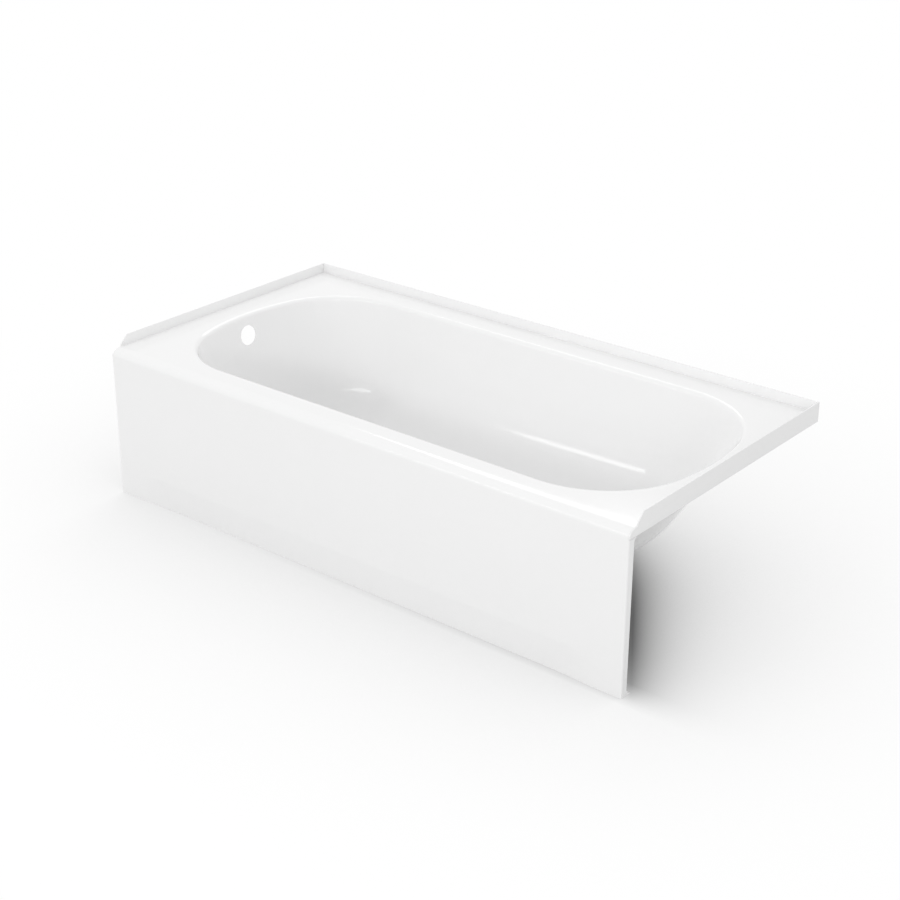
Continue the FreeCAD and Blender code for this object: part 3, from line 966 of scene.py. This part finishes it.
    def _hole_wall(self, skin: Skin, shown: np.ndarray, hidden: np.ndarray, turn: np.ndarray) -> None:
        """Eased edge and wall of the overflow hole.

        The edge is a quarter circle from the shown face to the bore: inwards by the ease times
        the sine, and down by the ease times one minus the cosine.

        Args:
            skin: the mesh that takes the grid.
            shown: the hole's points on the shown face.
            hidden: the hole's points on the hidden face.
            turn: the points' angles round the axis.
        """
        _, axis = self._overflow_axis()
        upward = np.array([-axis[2], 0.0, axis[0]])
        inwards = -(np.cos(turn)[:, None] * upward + np.sin(turn)[:, None] * np.array([0.0, 1.0, 0.0]))
        angle = math.pi / 2 * steps(5)[:, None, None]
        rounded = shown[None] + self.ease * (np.sin(angle) * inwards[None] - (1 - np.cos(angle)) * axis)
        skin.grid(np.concatenate([rounded, hidden[None]]), wrap=True)

    def _dish_profile(self, face: Side) -> np.ndarray:
        """Radius and height of the waste's dish, from the floor to the hole.

        The dish's wall is a smooth step of half a cosine between the floor and the dish.

        Args:
            face: which face of the sheet.

        Returns:
            Rows by 2.
        """
        outer = self.dish_radius + self.dish_margin
        step = steps(10)
        if face is Side.SHOWN:
            wall_r = self.dish_radius + 0.5 * MM - self.dish_run * step
            wall_z = -self.dish_depth * (1.0 - np.cos(math.pi * step)) / 2
            angle = math.pi / 2 * steps(5)
            edge_r = self.waste_radius + self.ease * (1.0 - np.sin(angle))
            edge_z = -self.dish_depth - self.ease * (1.0 - np.cos(angle))
            radius = np.concatenate([[outer], wall_r, edge_r])
            height = np.concatenate([[0.0], wall_z, edge_z])
        else:
            wall_r = self.dish_radius + 1.5 * MM - self.dish_run * step
            wall_z = -self.dish_depth * (1.0 - np.cos(math.pi * step)) / 2
            radius = np.concatenate([[outer], wall_r, [self.waste_radius]])
            height = np.concatenate([[0.0], wall_z, [-self.dish_depth]]) - self.sheet
        return np.stack([radius, height], axis=1)

    def _floor(self, skin: Skin, face: Side, edge: np.ndarray) -> np.ndarray:
        """Flat floor from the well's lowest outline to the dish, and the dish.

        Args:
            skin: the mesh that takes the grids.
            face: which face of the sheet.
            edge: the well's lowest outline.

        Returns:
            The waste hole's points.
        """
        tilt = math.atan(self.well.floor_fall)
        along = np.array([math.cos(tilt), 0.0, math.sin(tilt)])
        across = np.array([0.0, 1.0, 0.0])
        up = np.array([-math.sin(tilt), 0.0, math.cos(tilt)])
        height = self.well.floor_centre + self.well.floor_fall * self.waste_x
        centre = np.array([self.waste_x, 0.0, height])
        turn = np.arctan2((edge - centre) @ across, (edge - centre) @ along)
        ray = np.cos(turn)[:, None] * along + np.sin(turn)[:, None] * across
        profile = self._dish_profile(face)
        rings = centre + profile[:, 0, None, None] * ray[None] + profile[:, 1, None, None] * up
        skin.grid(blend(edge, rings[0], np.array([0.0, 0.02, 0.25, 0.5, 0.75, 0.96, 1.0])), wrap=True)
        skin.grid(rings, wrap=True)
        return rings[-1]

    # ------------------------------------------------------------------ the whole sheet

    def _face(self, skin: Skin, face: Side, turn: np.ndarray | None) -> dict[str, np.ndarray]:
        """One face of the sheet: floor, walls, roll, deck, shoulder and lips.

        Args:
            skin: the mesh that takes the grids.
            face: which face of the sheet.
            turn: angles of the overflow hole's points, if already known.

        Returns:
            The loops that the two faces are joined along.
        """
        inset = 0.0 if face is Side.SHOWN else self.sheet
        shares, lean, rim = self._rows(inset)
        wall = self.well.outline(shares, inset).points()
        keep, hole, turn = self._overflow(skin, shares, wall, inset, turn)
        skin.grid(wall, wrap=True, keep=keep)
        waste = self._floor(skin, face, wall[0])
        roll = self._roll(inset, lean, rim, wall[-1])
        skin.grid(np.concatenate([wall[-1:], roll]), wrap=True)
        inner = roll[-1]
        edge = self._frame_edge(inner[:, :2], inset)
        skin.grid(blend(inner, edge, np.array([0.0, 0.03, 0.35, 0.7, 1.0])), wrap=True)
        loop = self._lips(skin, edge, inset)
        return {"hole": hole, "waste": waste, "turn": turn, "loop": loop}

    def _lips(self, skin: Skin, edge: np.ndarray, inset: float) -> np.ndarray:
        """Shoulder and turned-down lips.

        Args:
            skin: the mesh that takes the grids.
            edge: the rim's outer edge.
            inset: depth below the shown face.

        Returns:
            The closed loop of the lips' lower edge.
        """
        back_right, back_left, front_left, front_right = self.well.corner_columns()
        profile = self.shoulder_profile(inset)
        front = edge[front_left:front_right + 1]
        shoulder = stack(front[None, :, 0], profile[:, :1], profile[:, 1:])
        skin.grid(shoulder)
        rest = np.concatenate([edge[front_right:], edge[:front_left + 1]])
        foot = rest.copy()
        foot[:, 2] = self.seam
        skin.grid(np.stack([rest, foot]))
        for column, straight in ((-1, foot[0]), (0, foot[-1])):
            skin.cap(np.concatenate([shoulder[:, column], straight[None]]))
        return np.concatenate([shoulder[-1], foot])

    def build(self, finish: bpy.types.Material) -> bpy.types.Object:
        """Build the sheet and put it in the frame's place.

        Args:
            finish: material of both faces.

        Returns:
            The piece.
        """
        skin = Skin(self.name)
        shown = self._face(skin, Side.SHOWN, None)
        hidden = self._face(skin, Side.HIDDEN, shown["turn"])
        self._hole_wall(skin, shown["hole"], hidden["hole"], shown["turn"])
        skin.grid(np.stack([shown["waste"], hidden["waste"]]), wrap=True)
        skin.grid(np.stack([shown["loop"], hidden["loop"]]), wrap=True)
        piece = skin.build()
        piece.data.materials.append(finish)
        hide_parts("bath_shell")
        return piece


# ============================================================================ tile flange

@dataclass
class Strip:
    """Flat strip with a free outline and rounded edges, lapped on the rim's lips."""

    name: str
    node: str
    outline: np.ndarray
    rounding: np.ndarray
    thickness: float
    outer: float
    axis: int
    direction: float
    inner_round: float = 0.4 * MM
    least_cosine: float = 0.35

    def build(self, finish: bpy.types.Material) -> bpy.types.Object:
        """Build the strip.

        Each edge is rings of the outline, moved inwards by the rounding times one minus the
        cosine, and through the thickness by the rounding times one minus the sine.

        Args:
            finish: its material.

        Returns:
            The piece.
        """
        skin = Skin(self.name)
        inner = min(self.inner_round, self.thickness / 4)
        angle = math.pi / 2 * steps(6)
        rings = []
        for turn in angle[::-1]:
            deep = self.thickness - inner * (1 - math.sin(turn))
            rings.append(self._ring(inner * (1 - math.cos(turn)), deep))
        for turn in angle:
            deep = self.rounding * (1 - math.sin(turn))
            rings.append(self._ring(self.rounding * (1 - math.cos(turn)), deep))
        skin.grid(np.stack(rings), wrap=True)
        skin.cap(rings[0])
        skin.cap(rings[-1])
        piece = skin.build(40.0)
        piece.data.materials.append(finish)
        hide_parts(self.node)
        return piece

    def _ring(self, offset: np.ndarray | float, depth: np.ndarray | float) -> np.ndarray:
        """Outline moved inwards, at a depth behind the outer face.

        Each point moves along the bisector of its two edges, by the offset over the cosine of
        half their turn.

        Args:
            offset: how far inwards, for all points or each.
            depth: how far behind the outer face, for all points or each.

        Returns:
            Points, with x, y and z last.
        """
        before = self.outline - np.roll(self.outline, 1, axis=0)
        after = np.roll(self.outline, -1, axis=0) - self.outline
        before = before / np.linalg.norm(before, axis=1)[:, None]
        after = after / np.linalg.norm(after, axis=1)[:, None]
        bisector = np.stack([-(before + after)[:, 1], (before + after)[:, 0]], axis=1)
        bisector = bisector / np.linalg.norm(bisector, axis=1)[:, None]
        normal = np.stack([-before[:, 1], before[:, 0]], axis=1)
        reach = 1.0 / np.maximum(self.least_cosine, np.sum(bisector * normal, axis=1))
        moved = self.outline + bisector * (np.broadcast_to(offset, reach.shape) * reach)[:, None]
        across = self.direction * (self.outer - np.broadcast_to(depth, reach.shape))
        if self.axis == 0:
            return stack(across, moved[:, 0], moved[:, 1])
        return stack(moved[:, 0], across, moved[:, 1])


@dataclass
class TileFlange:
    """Three strips that the tiles lap over, with a sloping cut at the front of the end strips."""

    shell: BathShell
    nose_from_front: float = 28.0 * MM
    nose_rise: float = 5.0 * MM
    cut_run: float = 22.0 * MM
    corner_radius: float = 2.8 * MM
    top_ease: float = 1.0 * MM
    plain_ease: float = 0.4 * MM

    def _end_outline(self) -> tuple[np.ndarray, np.ndarray]:
        """Outline of an end strip, running with its inside to the left.

        Returns:
            The points (y, z), and the rounding of the edge at each.
        """
        low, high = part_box("tile_flange_right")
        front, back, top = low.y, high.y, high.z
        profile = self.shell.shoulder_profile(0.0)
        nose = front + self.nose_from_front
        shoulder = profile[::-1]
        shoulder = shoulder[shoulder[:, 0] < nose]
        centre_y, centre_z = self.shell.soft_centre
        meet = centre_z + math.sqrt(self.shell.soft ** 2 - (nose - centre_y) ** 2)
        flange = np.array([
            (nose, meet),
            (nose, self.shell.deck + self.nose_rise),
            (nose + self.cut_run, top),
            (back, top),
            (back, self.shell.seam),
        ])
        outline = np.concatenate([shoulder, flange])
        rounding = np.concatenate([
            np.full(len(shoulder), self.corner_radius),
            [self.top_ease, self.plain_ease, self.top_ease, self.top_ease, self.plain_ease],
        ])
        return outline[::-1], rounding[::-1]

    def build(self, finish: bpy.types.Material) -> list[bpy.types.Object]:
        """Build the three strips.

        Args:
            finish: their material.

        Returns:
            The pieces.
        """
        outline, rounding = self._end_outline()
        low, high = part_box("tile_flange_back")
        pieces = []
        for node, direction in (("tile_flange_left", -1.0), ("tile_flange_right", 1.0)):
            strip = Strip(
                name=node + "_skin", node=node, outline=outline, rounding=rounding,
                thickness=high.x - self.shell.end, outer=high.x, axis=0, direction=direction,
            )
            pieces.append(strip.build(finish))
        back = np.array([(low.x, low.z), (high.x, low.z), (high.x, high.z), (low.x, high.z)])
        strip = Strip(
            name="tile_flange_back_skin", node="tile_flange_back", outline=back,
            rounding=np.array([self.plain_ease, self.plain_ease, self.top_ease, self.top_ease]),
            thickness=high.y - low.y, outer=high.y, axis=1, direction=1.0,
        )
        pieces.append(strip.build(finish))
        return pieces


# ============================================================================ apron

@dataclass
class Apron:
    """Flat front panel with a slanting toe band, side returns and a return along the floor."""

    sheet: float = 2.0 * MM
    edge: float = 2.8 * MM
    side_return: float = 18.0 * MM
    foot_return: float = 30.0 * MM
    flare: float = 10.0 * MM
    toe_height: float = 76.2 * MM
    toe_setback: float = 5.5 * MM
    toe_from_end: float = 82.0 * MM
    toe_runout: float = 60.0 * MM
    toe_corner: float = 58.0 * MM
    crease: float = 0.035
    low: Vector = field(default_factory=lambda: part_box("apron_panel")[0])
    high: Vector = field(default_factory=lambda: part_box("apron_panel")[1])
    name: str = "apron_skin"

    def toe_depth(self, x: np.ndarray, z: np.ndarray) -> np.ndarray:
        """How far the toe band lies behind the panel's face.

        The band's outline is a rounded rectangle that shrinks evenly with depth. The share of the
        depth at a point is the one whose outline passes through it: a straight slope from the top
        and from each end, and in the corners the root of the circle's equation. The crease is
        softened by sqrt(share^2 + crease^2).

        Args:
            x: places along the tub.
            z: heights.

        Returns:
            Depths, 0 outside the band.
        """
        half = self.high.x - self.toe_from_end
        radius = self.toe_corner
        from_top = 1.0 - z / self.toe_height
        from_end = (half - np.abs(x)) / self.toe_runout
        a = self.toe_runout ** 2 + self.toe_height ** 2
        u = np.abs(x) - half + radius
        v = z - self.toe_height + radius
        b = u * self.toe_runout + v * self.toe_height
        c = u ** 2 + v ** 2 - radius ** 2
        root = (-b + np.sqrt(np.maximum(0.0, b ** 2 - a * c))) / a
        in_corner = (u + self.toe_runout * root > 0.0) & (v + self.toe_height * root > 0.0)
        share = np.where(in_corner, root, np.minimum(from_top, from_end))
        soft = (share + np.sqrt(share ** 2 + self.crease ** 2)) / 2
        return self.toe_setback * np.clip(soft, 0.0, 1.0)

    def _columns(self) -> tuple[np.ndarray, np.ndarray, np.ndarray]:
        """Anchor x, share of the return behind the corner, and outward angle for each column.

        The panel's plan is a path of anchors: along the right return, round its corner, along the
        front, and back along the left. The faces lie off it along the outward direction.

        Returns:
            Three rows of numbers, one for each column.
        """
        anchor = self.high.x - self.edge
        back = 1.0 - steps(6)
        turn = -math.pi / 2 * steps(8)[1:]
        run = np.linspace(anchor, -anchor, 321)[1:]
        x = np.concatenate([np.full(back.size, anchor), np.full(turn.size, anchor), run])
        share = np.concatenate([back, np.zeros(turn.size + run.size)])
        angle = np.concatenate([np.zeros(back.size), turn, np.full(run.size, -math.pi / 2)])
        x = np.concatenate([x, np.full(turn.size + back.size - 1, -anchor)])
        share = np.concatenate([share, np.zeros(turn.size), back[::-1][1:]])
        left_turn = -math.pi - turn[::-1]
        left_turn = np.concatenate([left_turn[1:], [-math.pi]])
        angle = np.concatenate([angle, left_turn, np.full(back.size - 1, -math.pi)])
        return x, share, angle

    def _rear(self, z: np.ndarray) -> np.ndarray:
        """Rear edge of the side returns: straight, with an arc at its foot and at its top.

        Args:
            z: heights.

        Returns:
            Depths behind the panel's front.
        """
        depth = np.full_like(z, self.side_return)
        foot_arc = self.foot_return - self.side_return
        for level, radius in ((self.sheet, foot_arc), (self.high.z, self.flare)):
            gap = np.abs(z - level)
            inside = gap < radius
            arc = radius - np.sqrt(np.maximum(0.0, radius ** 2 - (radius - gap) ** 2))
            depth = np.where(inside, self.side_return + arc, depth)
        return np.where(z <= self.sheet, self.foot_return, depth)

    def _face(self, z: np.ndarray, offset: float) -> np.ndarray:
        """Points of one face, off the anchors along the outward direction.

        Args:
            z: heights of the rows.
            offset: distance from the anchors.

        Returns:
            Rows by columns by 3.
        """
        x, share, angle = self._columns()
        anchor_y = self.low.y + self.edge
        rear = self._rear(z)[:, None] - self.edge
        y = anchor_y + share[None] * rear + offset * np.sin(angle)[None]
        along = x + offset * np.cos(angle)
        front = (share == 0.0) & (np.abs(angle + math.pi / 2) < 1e-9)
        depth = self.toe_depth(along[None], z[:, None]) * front[None]
        return stack(along[None], y + depth, z[:, None])

    def build(self, finish: bpy.types.Material) -> bpy.types.Object:
        """Build the panel as a closed sheet.

        Args:
            finish: its material.

        Returns:
            The piece.
        """
        top = self.high.z
        levels = np.concatenate([
            np.linspace(self.sheet, self.toe_height - 6 * MM, 24),
            np.linspace(self.toe_height - 4.5 * MM, self.toe_height + 4.5 * MM, 13),
            np.linspace(self.toe_height + 12 * MM, top - self.flare, 22),
            top - self.flare * (1.0 - steps(8)[1:]),
        ])
        low_levels = self.sheet + (self.foot_return - self.side_return) * steps(8)
        levels = np.unique(np.round(np.concatenate([levels, low_levels]), 6))
        shown = self._face(np.concatenate([[0.0], levels]), self.edge)
        hidden = self._face(levels, self.edge - self.sheet)
        skin = Skin(self.name)
        skin.grid(shown)
        skin.grid(hidden)
        skin.grid(np.stack([shown[-1], hidden[-1]]))
        for side in (0, -1):
            skin.grid(np.stack([shown[1:, side], hidden[:, side]]))
        corner = steps(6).size - 1
        span = slice(corner, shown.shape[1] - corner)
        self._foot(skin, shown[0, span], shown[1, span], hidden[0, span])
        piece = skin.build()
        piece.data.materials.append(finish)
        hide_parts("apron_panel")
        return piece

    def _foot(self, skin: Skin, under: np.ndarray, above: np.ndarray, inside: np.ndarray) -> None:
        """Return along the floor: its underside, its rear edge and its upper face.

        Args:
            skin: the mesh that takes the grids.
            under: the shown face's lowest row between the corners' rear ends.
            above: the same columns of the shown face, one sheet up; not used.
            inside: the hidden face's lowest row.
        """
        rear_y = self.low.y + self.foot_return
        rear_low = under.copy()
        rear_low[:, 1] = rear_y
        rear_high = inside.copy()
        rear_high[:, 1] = rear_y
        skin.grid(blend(under, rear_low, steps(6)))
        skin.grid(blend(inside, rear_high, steps(6)))
        rear_top = rear_low.copy()
        rear_top[:, 2] = self.sheet
        skin.grid(np.stack([rear_low, rear_top]))
        skin.grid(np.stack([rear_top, rear_high]))


# ============================================================================ carried-over nodes

@dataclass(frozen=True)
class Carried:
    """Nodes of the frame whose shape is right: they stay and get a finish."""

    nodes: tuple[str, ...]

    def dress(self, finish: bpy.types.Material) -> None:
        """Put the finish in every slot of every node.

        Args:
            finish: the material.
        """
        for name in self.nodes:
            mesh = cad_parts[name].data
            if not mesh.materials:
                mesh.materials.append(finish)
            for index in range(len(mesh.materials)):
                mesh.materials[index] = finish
            LOG.info("%s dressed with %s", name, finish.name)


# ============================================================================ studio

@dataclass(frozen=True)
class Softbox:
    """Large soft lamp aimed at the tub."""

    name: str
    azimuth: float
    elevation: float
    distance: float
    width: float
    height: float
    strength: float
    turn: float = 0.0

    def build(self, target: Vector) -> bpy.types.Object:
        """Place the lamp; turn is its tilt in its own plane, in degrees.

        Args:
            target: what it is aimed at.

        Returns:
            The lamp.
        """
        lamp = bpy.data.lights.new(self.name, "AREA")
        lamp.shape = "RECTANGLE"
        lamp.size = self.width
        lamp.size_y = self.height
        lamp.energy = self.strength * self.width * self.height * math.pi
        holder = bpy.data.objects.new(self.name, lamp)
        bpy.context.scene.collection.objects.link(holder)
        a, e = math.radians(self.azimuth), math.radians(self.elevation)
        away = Vector((math.sin(a) * math.cos(e), -math.cos(a) * math.cos(e), math.sin(e)))
        holder.location = target + away * self.distance
        holder.rotation_mode = "QUATERNION"
        tilt = Quaternion((0.0, 0.0, 1.0), math.radians(self.turn))
        holder.rotation_quaternion = away.to_track_quat("Z", "Y") @ tilt
        return holder


@dataclass(frozen=True)
class Camera:
    """The photograph's camera: its direction, turn, distance and lens."""

    azimuth: float = 39.079
    elevation: float = 24.594
    roll: float = 0.272
    distance: float = 4.3952
    target: tuple[float, float, float] = (-0.0765, 0.0915, 0.150)
    focal_pixels: float = 1778.5
    frame_pixels: float = 900.0

    def build(self) -> bpy.types.Object:
        """Place the camera and make it the scene's own.

        Returns:
            The camera.
        """
        a, e, r = (math.radians(v) for v in (self.azimuth, self.elevation, self.roll))
        back = Vector((math.sin(a) * math.cos(e), -math.cos(a) * math.cos(e), math.sin(e)))
        right = Vector((math.cos(a), math.sin(a), 0.0))
        up = back.cross(right)
        side = right * math.cos(r) + up * math.sin(r)
        top = up * math.cos(r) - right * math.sin(r)
        data = bpy.data.cameras.new("camera")
        data.sensor_width = 36.0
        data.lens = self.focal_pixels / self.frame_pixels * data.sensor_width
        data.clip_start, data.clip_end = 0.05, 200.0
        camera = bpy.data.objects.new("camera", data)
        bpy.context.scene.collection.objects.link(camera)
        turn = Matrix((side, top, back)).transposed()
        camera.rotation_mode = "QUATERNION"
        camera.rotation_quaternion = turn.to_quaternion()
        camera.location = Vector(self.target) + back * self.distance
        bpy.context.scene.camera = camera
        return camera


@dataclass(frozen=True)
class FloorShade:
    """Shade painted on the floor, round all that stands near it and under the tub's raised end.

    The near shade is the open share of the sky within reach, to a small power. The pool is
    1 - depth * exp(-(distance along / half)^2.5) * exp(-distance across / fade), where the fade
    differs on its two sides. It begins behind the apron.
    """

    reach: float = 0.9
    near_samples: int = 8
    softness: float = 0.22
    pool_start: tuple[float, float, float] = (0.761, -0.342, 0.0)
    pool_out: tuple[float, float, float] = (0.837, 0.546, 0.0)
    pool_along: tuple[float, float, float] = (-0.546, 0.837, 0.0)
    apron_line: float = -0.40
    apron_blend: float = 0.08
    pool_middle: float = 0.28
    pool_half: float = 0.40
    pool_power: float = 2.5
    pool_depth: float = 0.82
    pool_fade_out: float = 0.062
    pool_fade_in: float = 0.60

    def level(self, nodes: Nodes) -> bpy.types.NodeSocket:
        """Share of light left on the floor.

        Args:
            nodes: the floor's material.

        Returns:
            The share's socket, from 0 to 1.
        """
        near = nodes.tree.nodes.new("ShaderNodeAmbientOcclusion")
        near.samples = self.near_samples
        near.inputs["Distance"].default_value = self.reach
        open_share = nodes.maths("POWER", near.outputs["AO"], self.softness)
        out = nodes.along(self.pool_start, self.pool_out)
        outside = nodes.maths("DIVIDE", out, -self.pool_fade_out)
        inside = nodes.maths("DIVIDE", out, self.pool_fade_in)
        edge = nodes.maths("EXPONENT", nodes.maths("MINIMUM", outside, inside))
        from_front = nodes.along(self.pool_start, self.pool_along)
        behind = nodes.along((0.0, self.apron_line, 0.0), (0.0, 1.0, 0.0))
        begun = nodes.maths("DIVIDE", behind, self.apron_blend)
        begun = nodes.maths("MINIMUM", nodes.maths("MAXIMUM", begun, 0.0), 1.0)
        along = nodes.maths("SUBTRACT", from_front, self.pool_middle)
        spread = nodes.maths("DIVIDE", nodes.maths("ABSOLUTE", along), self.pool_half)
        spread = nodes.maths("MULTIPLY", nodes.maths("POWER", spread, self.pool_power), -1.0)
        depth = nodes.maths("MULTIPLY", nodes.maths("EXPONENT", spread), self.pool_depth)
        share = nodes.maths("MULTIPLY", nodes.maths("MULTIPLY", depth, edge), begun)
        pool = nodes.maths("SUBTRACT", 1.0, share)
        return nodes.maths("MULTIPLY", open_share, pool)


@dataclass
class Studio:
    """Pale floor and surroundings with soft lamps."""

    target: Vector = field(default_factory=lambda: Vector((0.0, 0.0, 0.2)))
    floor_reach: float = 40.0
    floor_colour: float = 0.70
    cast_share: float = 0.25
    fade_start: float = 0.9
    fade_end: float = 1.9
    floor_drop: float = 0.0002
    world_light: float = 0.835
    floor_shade: FloorShade = field(default_factory=FloorShade)
    boxes: tuple[Softbox, ...] = (
        Softbox("strip_box", 9.6, 23.2, 4.31, 8.35, 0.45, 4.3, -9.0),
        Softbox("back_box", -150.0, 45.0, 4.5, 2.5, 2.0, 1.75),
    )

    def _seen(self, tree: bpy.types.NodeTree) -> bpy.types.NodeSocket:
        """Tell rays that show the background from those that only light.

        Args:
            tree: the tree that takes the nodes.

        Returns:
            A socket that is 1 for camera, glossy and transmitted rays, else 0.
        """
        path = tree.nodes.new("ShaderNodeLightPath")
        total = path.outputs["Is Camera Ray"]
        for name in ("Is Glossy Ray", "Is Transmission Ray"):
            add = tree.nodes.new("ShaderNodeMath")
            add.operation = "MAXIMUM"
            tree.links.new(total, add.inputs[0])
            tree.links.new(path.outputs[name], add.inputs[1])
            total = add.outputs[0]
        return total

    def _floor_material(self) -> bpy.types.Material:
        """White floor that runs out into plain white.

        Where it is seen, cast_share of it takes the lamps' light and the tub's shadow, and the rest
        is plain white. Both are darkened by the painted shade. As a light source it is a plain
        matt floor.

        Returns:
            The material.
        """
        nodes = Nodes("studio_floor", (1.0, 1.0, 1.0))
        tree = nodes.tree
        tree.nodes.remove(nodes.shader)
        output = tree.nodes["Material Output"]
        real = tree.nodes.new("ShaderNodeBsdfDiffuse")
        real.inputs["Color"].default_value = (self.floor_colour,) * 3 + (1.0,)
        level = self.floor_shade.level(nodes)
        cast = tree.nodes.new("ShaderNodeBsdfDiffuse")
        nodes.link(level, cast.inputs["Color"])
        even = tree.nodes.new("ShaderNodeEmission")
        nodes.link(level, even.inputs["Color"])
        shown = tree.nodes.new("ShaderNodeMixShader")
        shown.inputs[0].default_value = self.cast_share
        nodes.link(even.outputs[0], shown.inputs[1])
        nodes.link(cast.outputs[0], shown.inputs[2])
        white = tree.nodes.new("ShaderNodeEmission")
        length = tree.nodes.new("ShaderNodeVectorMath")
        length.operation = "LENGTH"
        nodes.link(nodes.place, length.inputs[0])
        fade = tree.nodes.new("ShaderNodeMapRange")
        fade.interpolation_type = "SMOOTHSTEP"
        fade.inputs["From Min"].default_value = self.fade_start
        fade.inputs["From Max"].default_value = self.fade_end
        nodes.link(length.outputs["Value"], fade.inputs["Value"])
        far = tree.nodes.new("ShaderNodeMixShader")
        nodes.link(fade.outputs["Result"], far.inputs[0])
        nodes.link(shown.outputs[0], far.inputs[1])
        nodes.link(white.outputs[0], far.inputs[2])
        both = tree.nodes.new("ShaderNodeMixShader")
        nodes.link(self._seen(tree), both.inputs[0])
        nodes.link(real.outputs[0], both.inputs[1])
        nodes.link(far.outputs[0], both.inputs[2])
        nodes.link(both.outputs[0], output.inputs["Surface"])
        return nodes.material

    def _floor(self) -> bpy.types.Object:
        """Large flat floor, just below the tub's foot.

        Returns:
            The floor.
        """
        reach = self.floor_reach
        mesh = bpy.data.meshes.new("studio_floor")
        level = CAD_BOX[0].z - self.floor_drop
        signs = ((-1, -1), (1, -1), (1, 1), (-1, 1))
        corners = [(x * reach, y * reach, level) for x, y in signs]
        mesh.from_pydata(corners, [], [(0, 1, 2, 3)])
        mesh.materials.append(self._floor_material())
        floor = bpy.data.objects.new("studio_floor", mesh)
        bpy.context.scene.collection.objects.link(floor)
        return floor

    def _world(self) -> None:
        """White surroundings: plain white where they are seen, softer as light."""
        world = bpy.data.worlds.new("studio")
        world.use_nodes = True
        tree = world.node_tree
        background = tree.nodes["Background"]
        background.inputs["Color"].default_value = (1.0, 1.0, 1.0, 1.0)
        level = tree.nodes.new("ShaderNodeMapRange")
        level.inputs["To Min"].default_value = self.world_light
        level.inputs["To Max"].default_value = 1.0
        tree.links.new(self._seen(tree), level.inputs["Value"])
        tree.links.new(level.outputs["Result"], background.inputs["Strength"])
        bpy.context.scene.world = world

    def build(self) -> None:
        """Build floor, surroundings and lamps."""
        self._floor()
        self._world()
        for box in self.boxes:
            box.build(self.target)
        bpy.context.scene.view_settings.view_transform = "Standard"


# ============================================================================ main

def main() -> None:
    """Build the pieces in order and report each."""
    logging.basicConfig(level=logging.INFO, format="%(message)s")
    enamel = Enamel().make()
    coat = GroundCoat().make()
    shell = BathShell()
    pieces = [shell.build(enamel)]
    pieces += TileFlange(shell).build(enamel)
    pieces.append(Apron().build(enamel))
    for piece in pieces:
        LOG.info("%s: %d faces", piece.name, len(piece.data.polygons))
    Carried((
        "apron_joint_strip", "apron_foot_channel", "apron_brace_1", "apron_brace_2",
        "apron_brace_3", "apron_tie_left", "apron_tie_right",
    )).dress(coat)
    Carried(("support_bed",)).dress(BeadFoam().make())
    Carried(("sound_pad_front", "sound_pad_back", "sound_pad_waste_end")).dress(DeadeningPad().make())
    Studio().build()
    Camera().build()


if __name__ == "__main__":
    main()
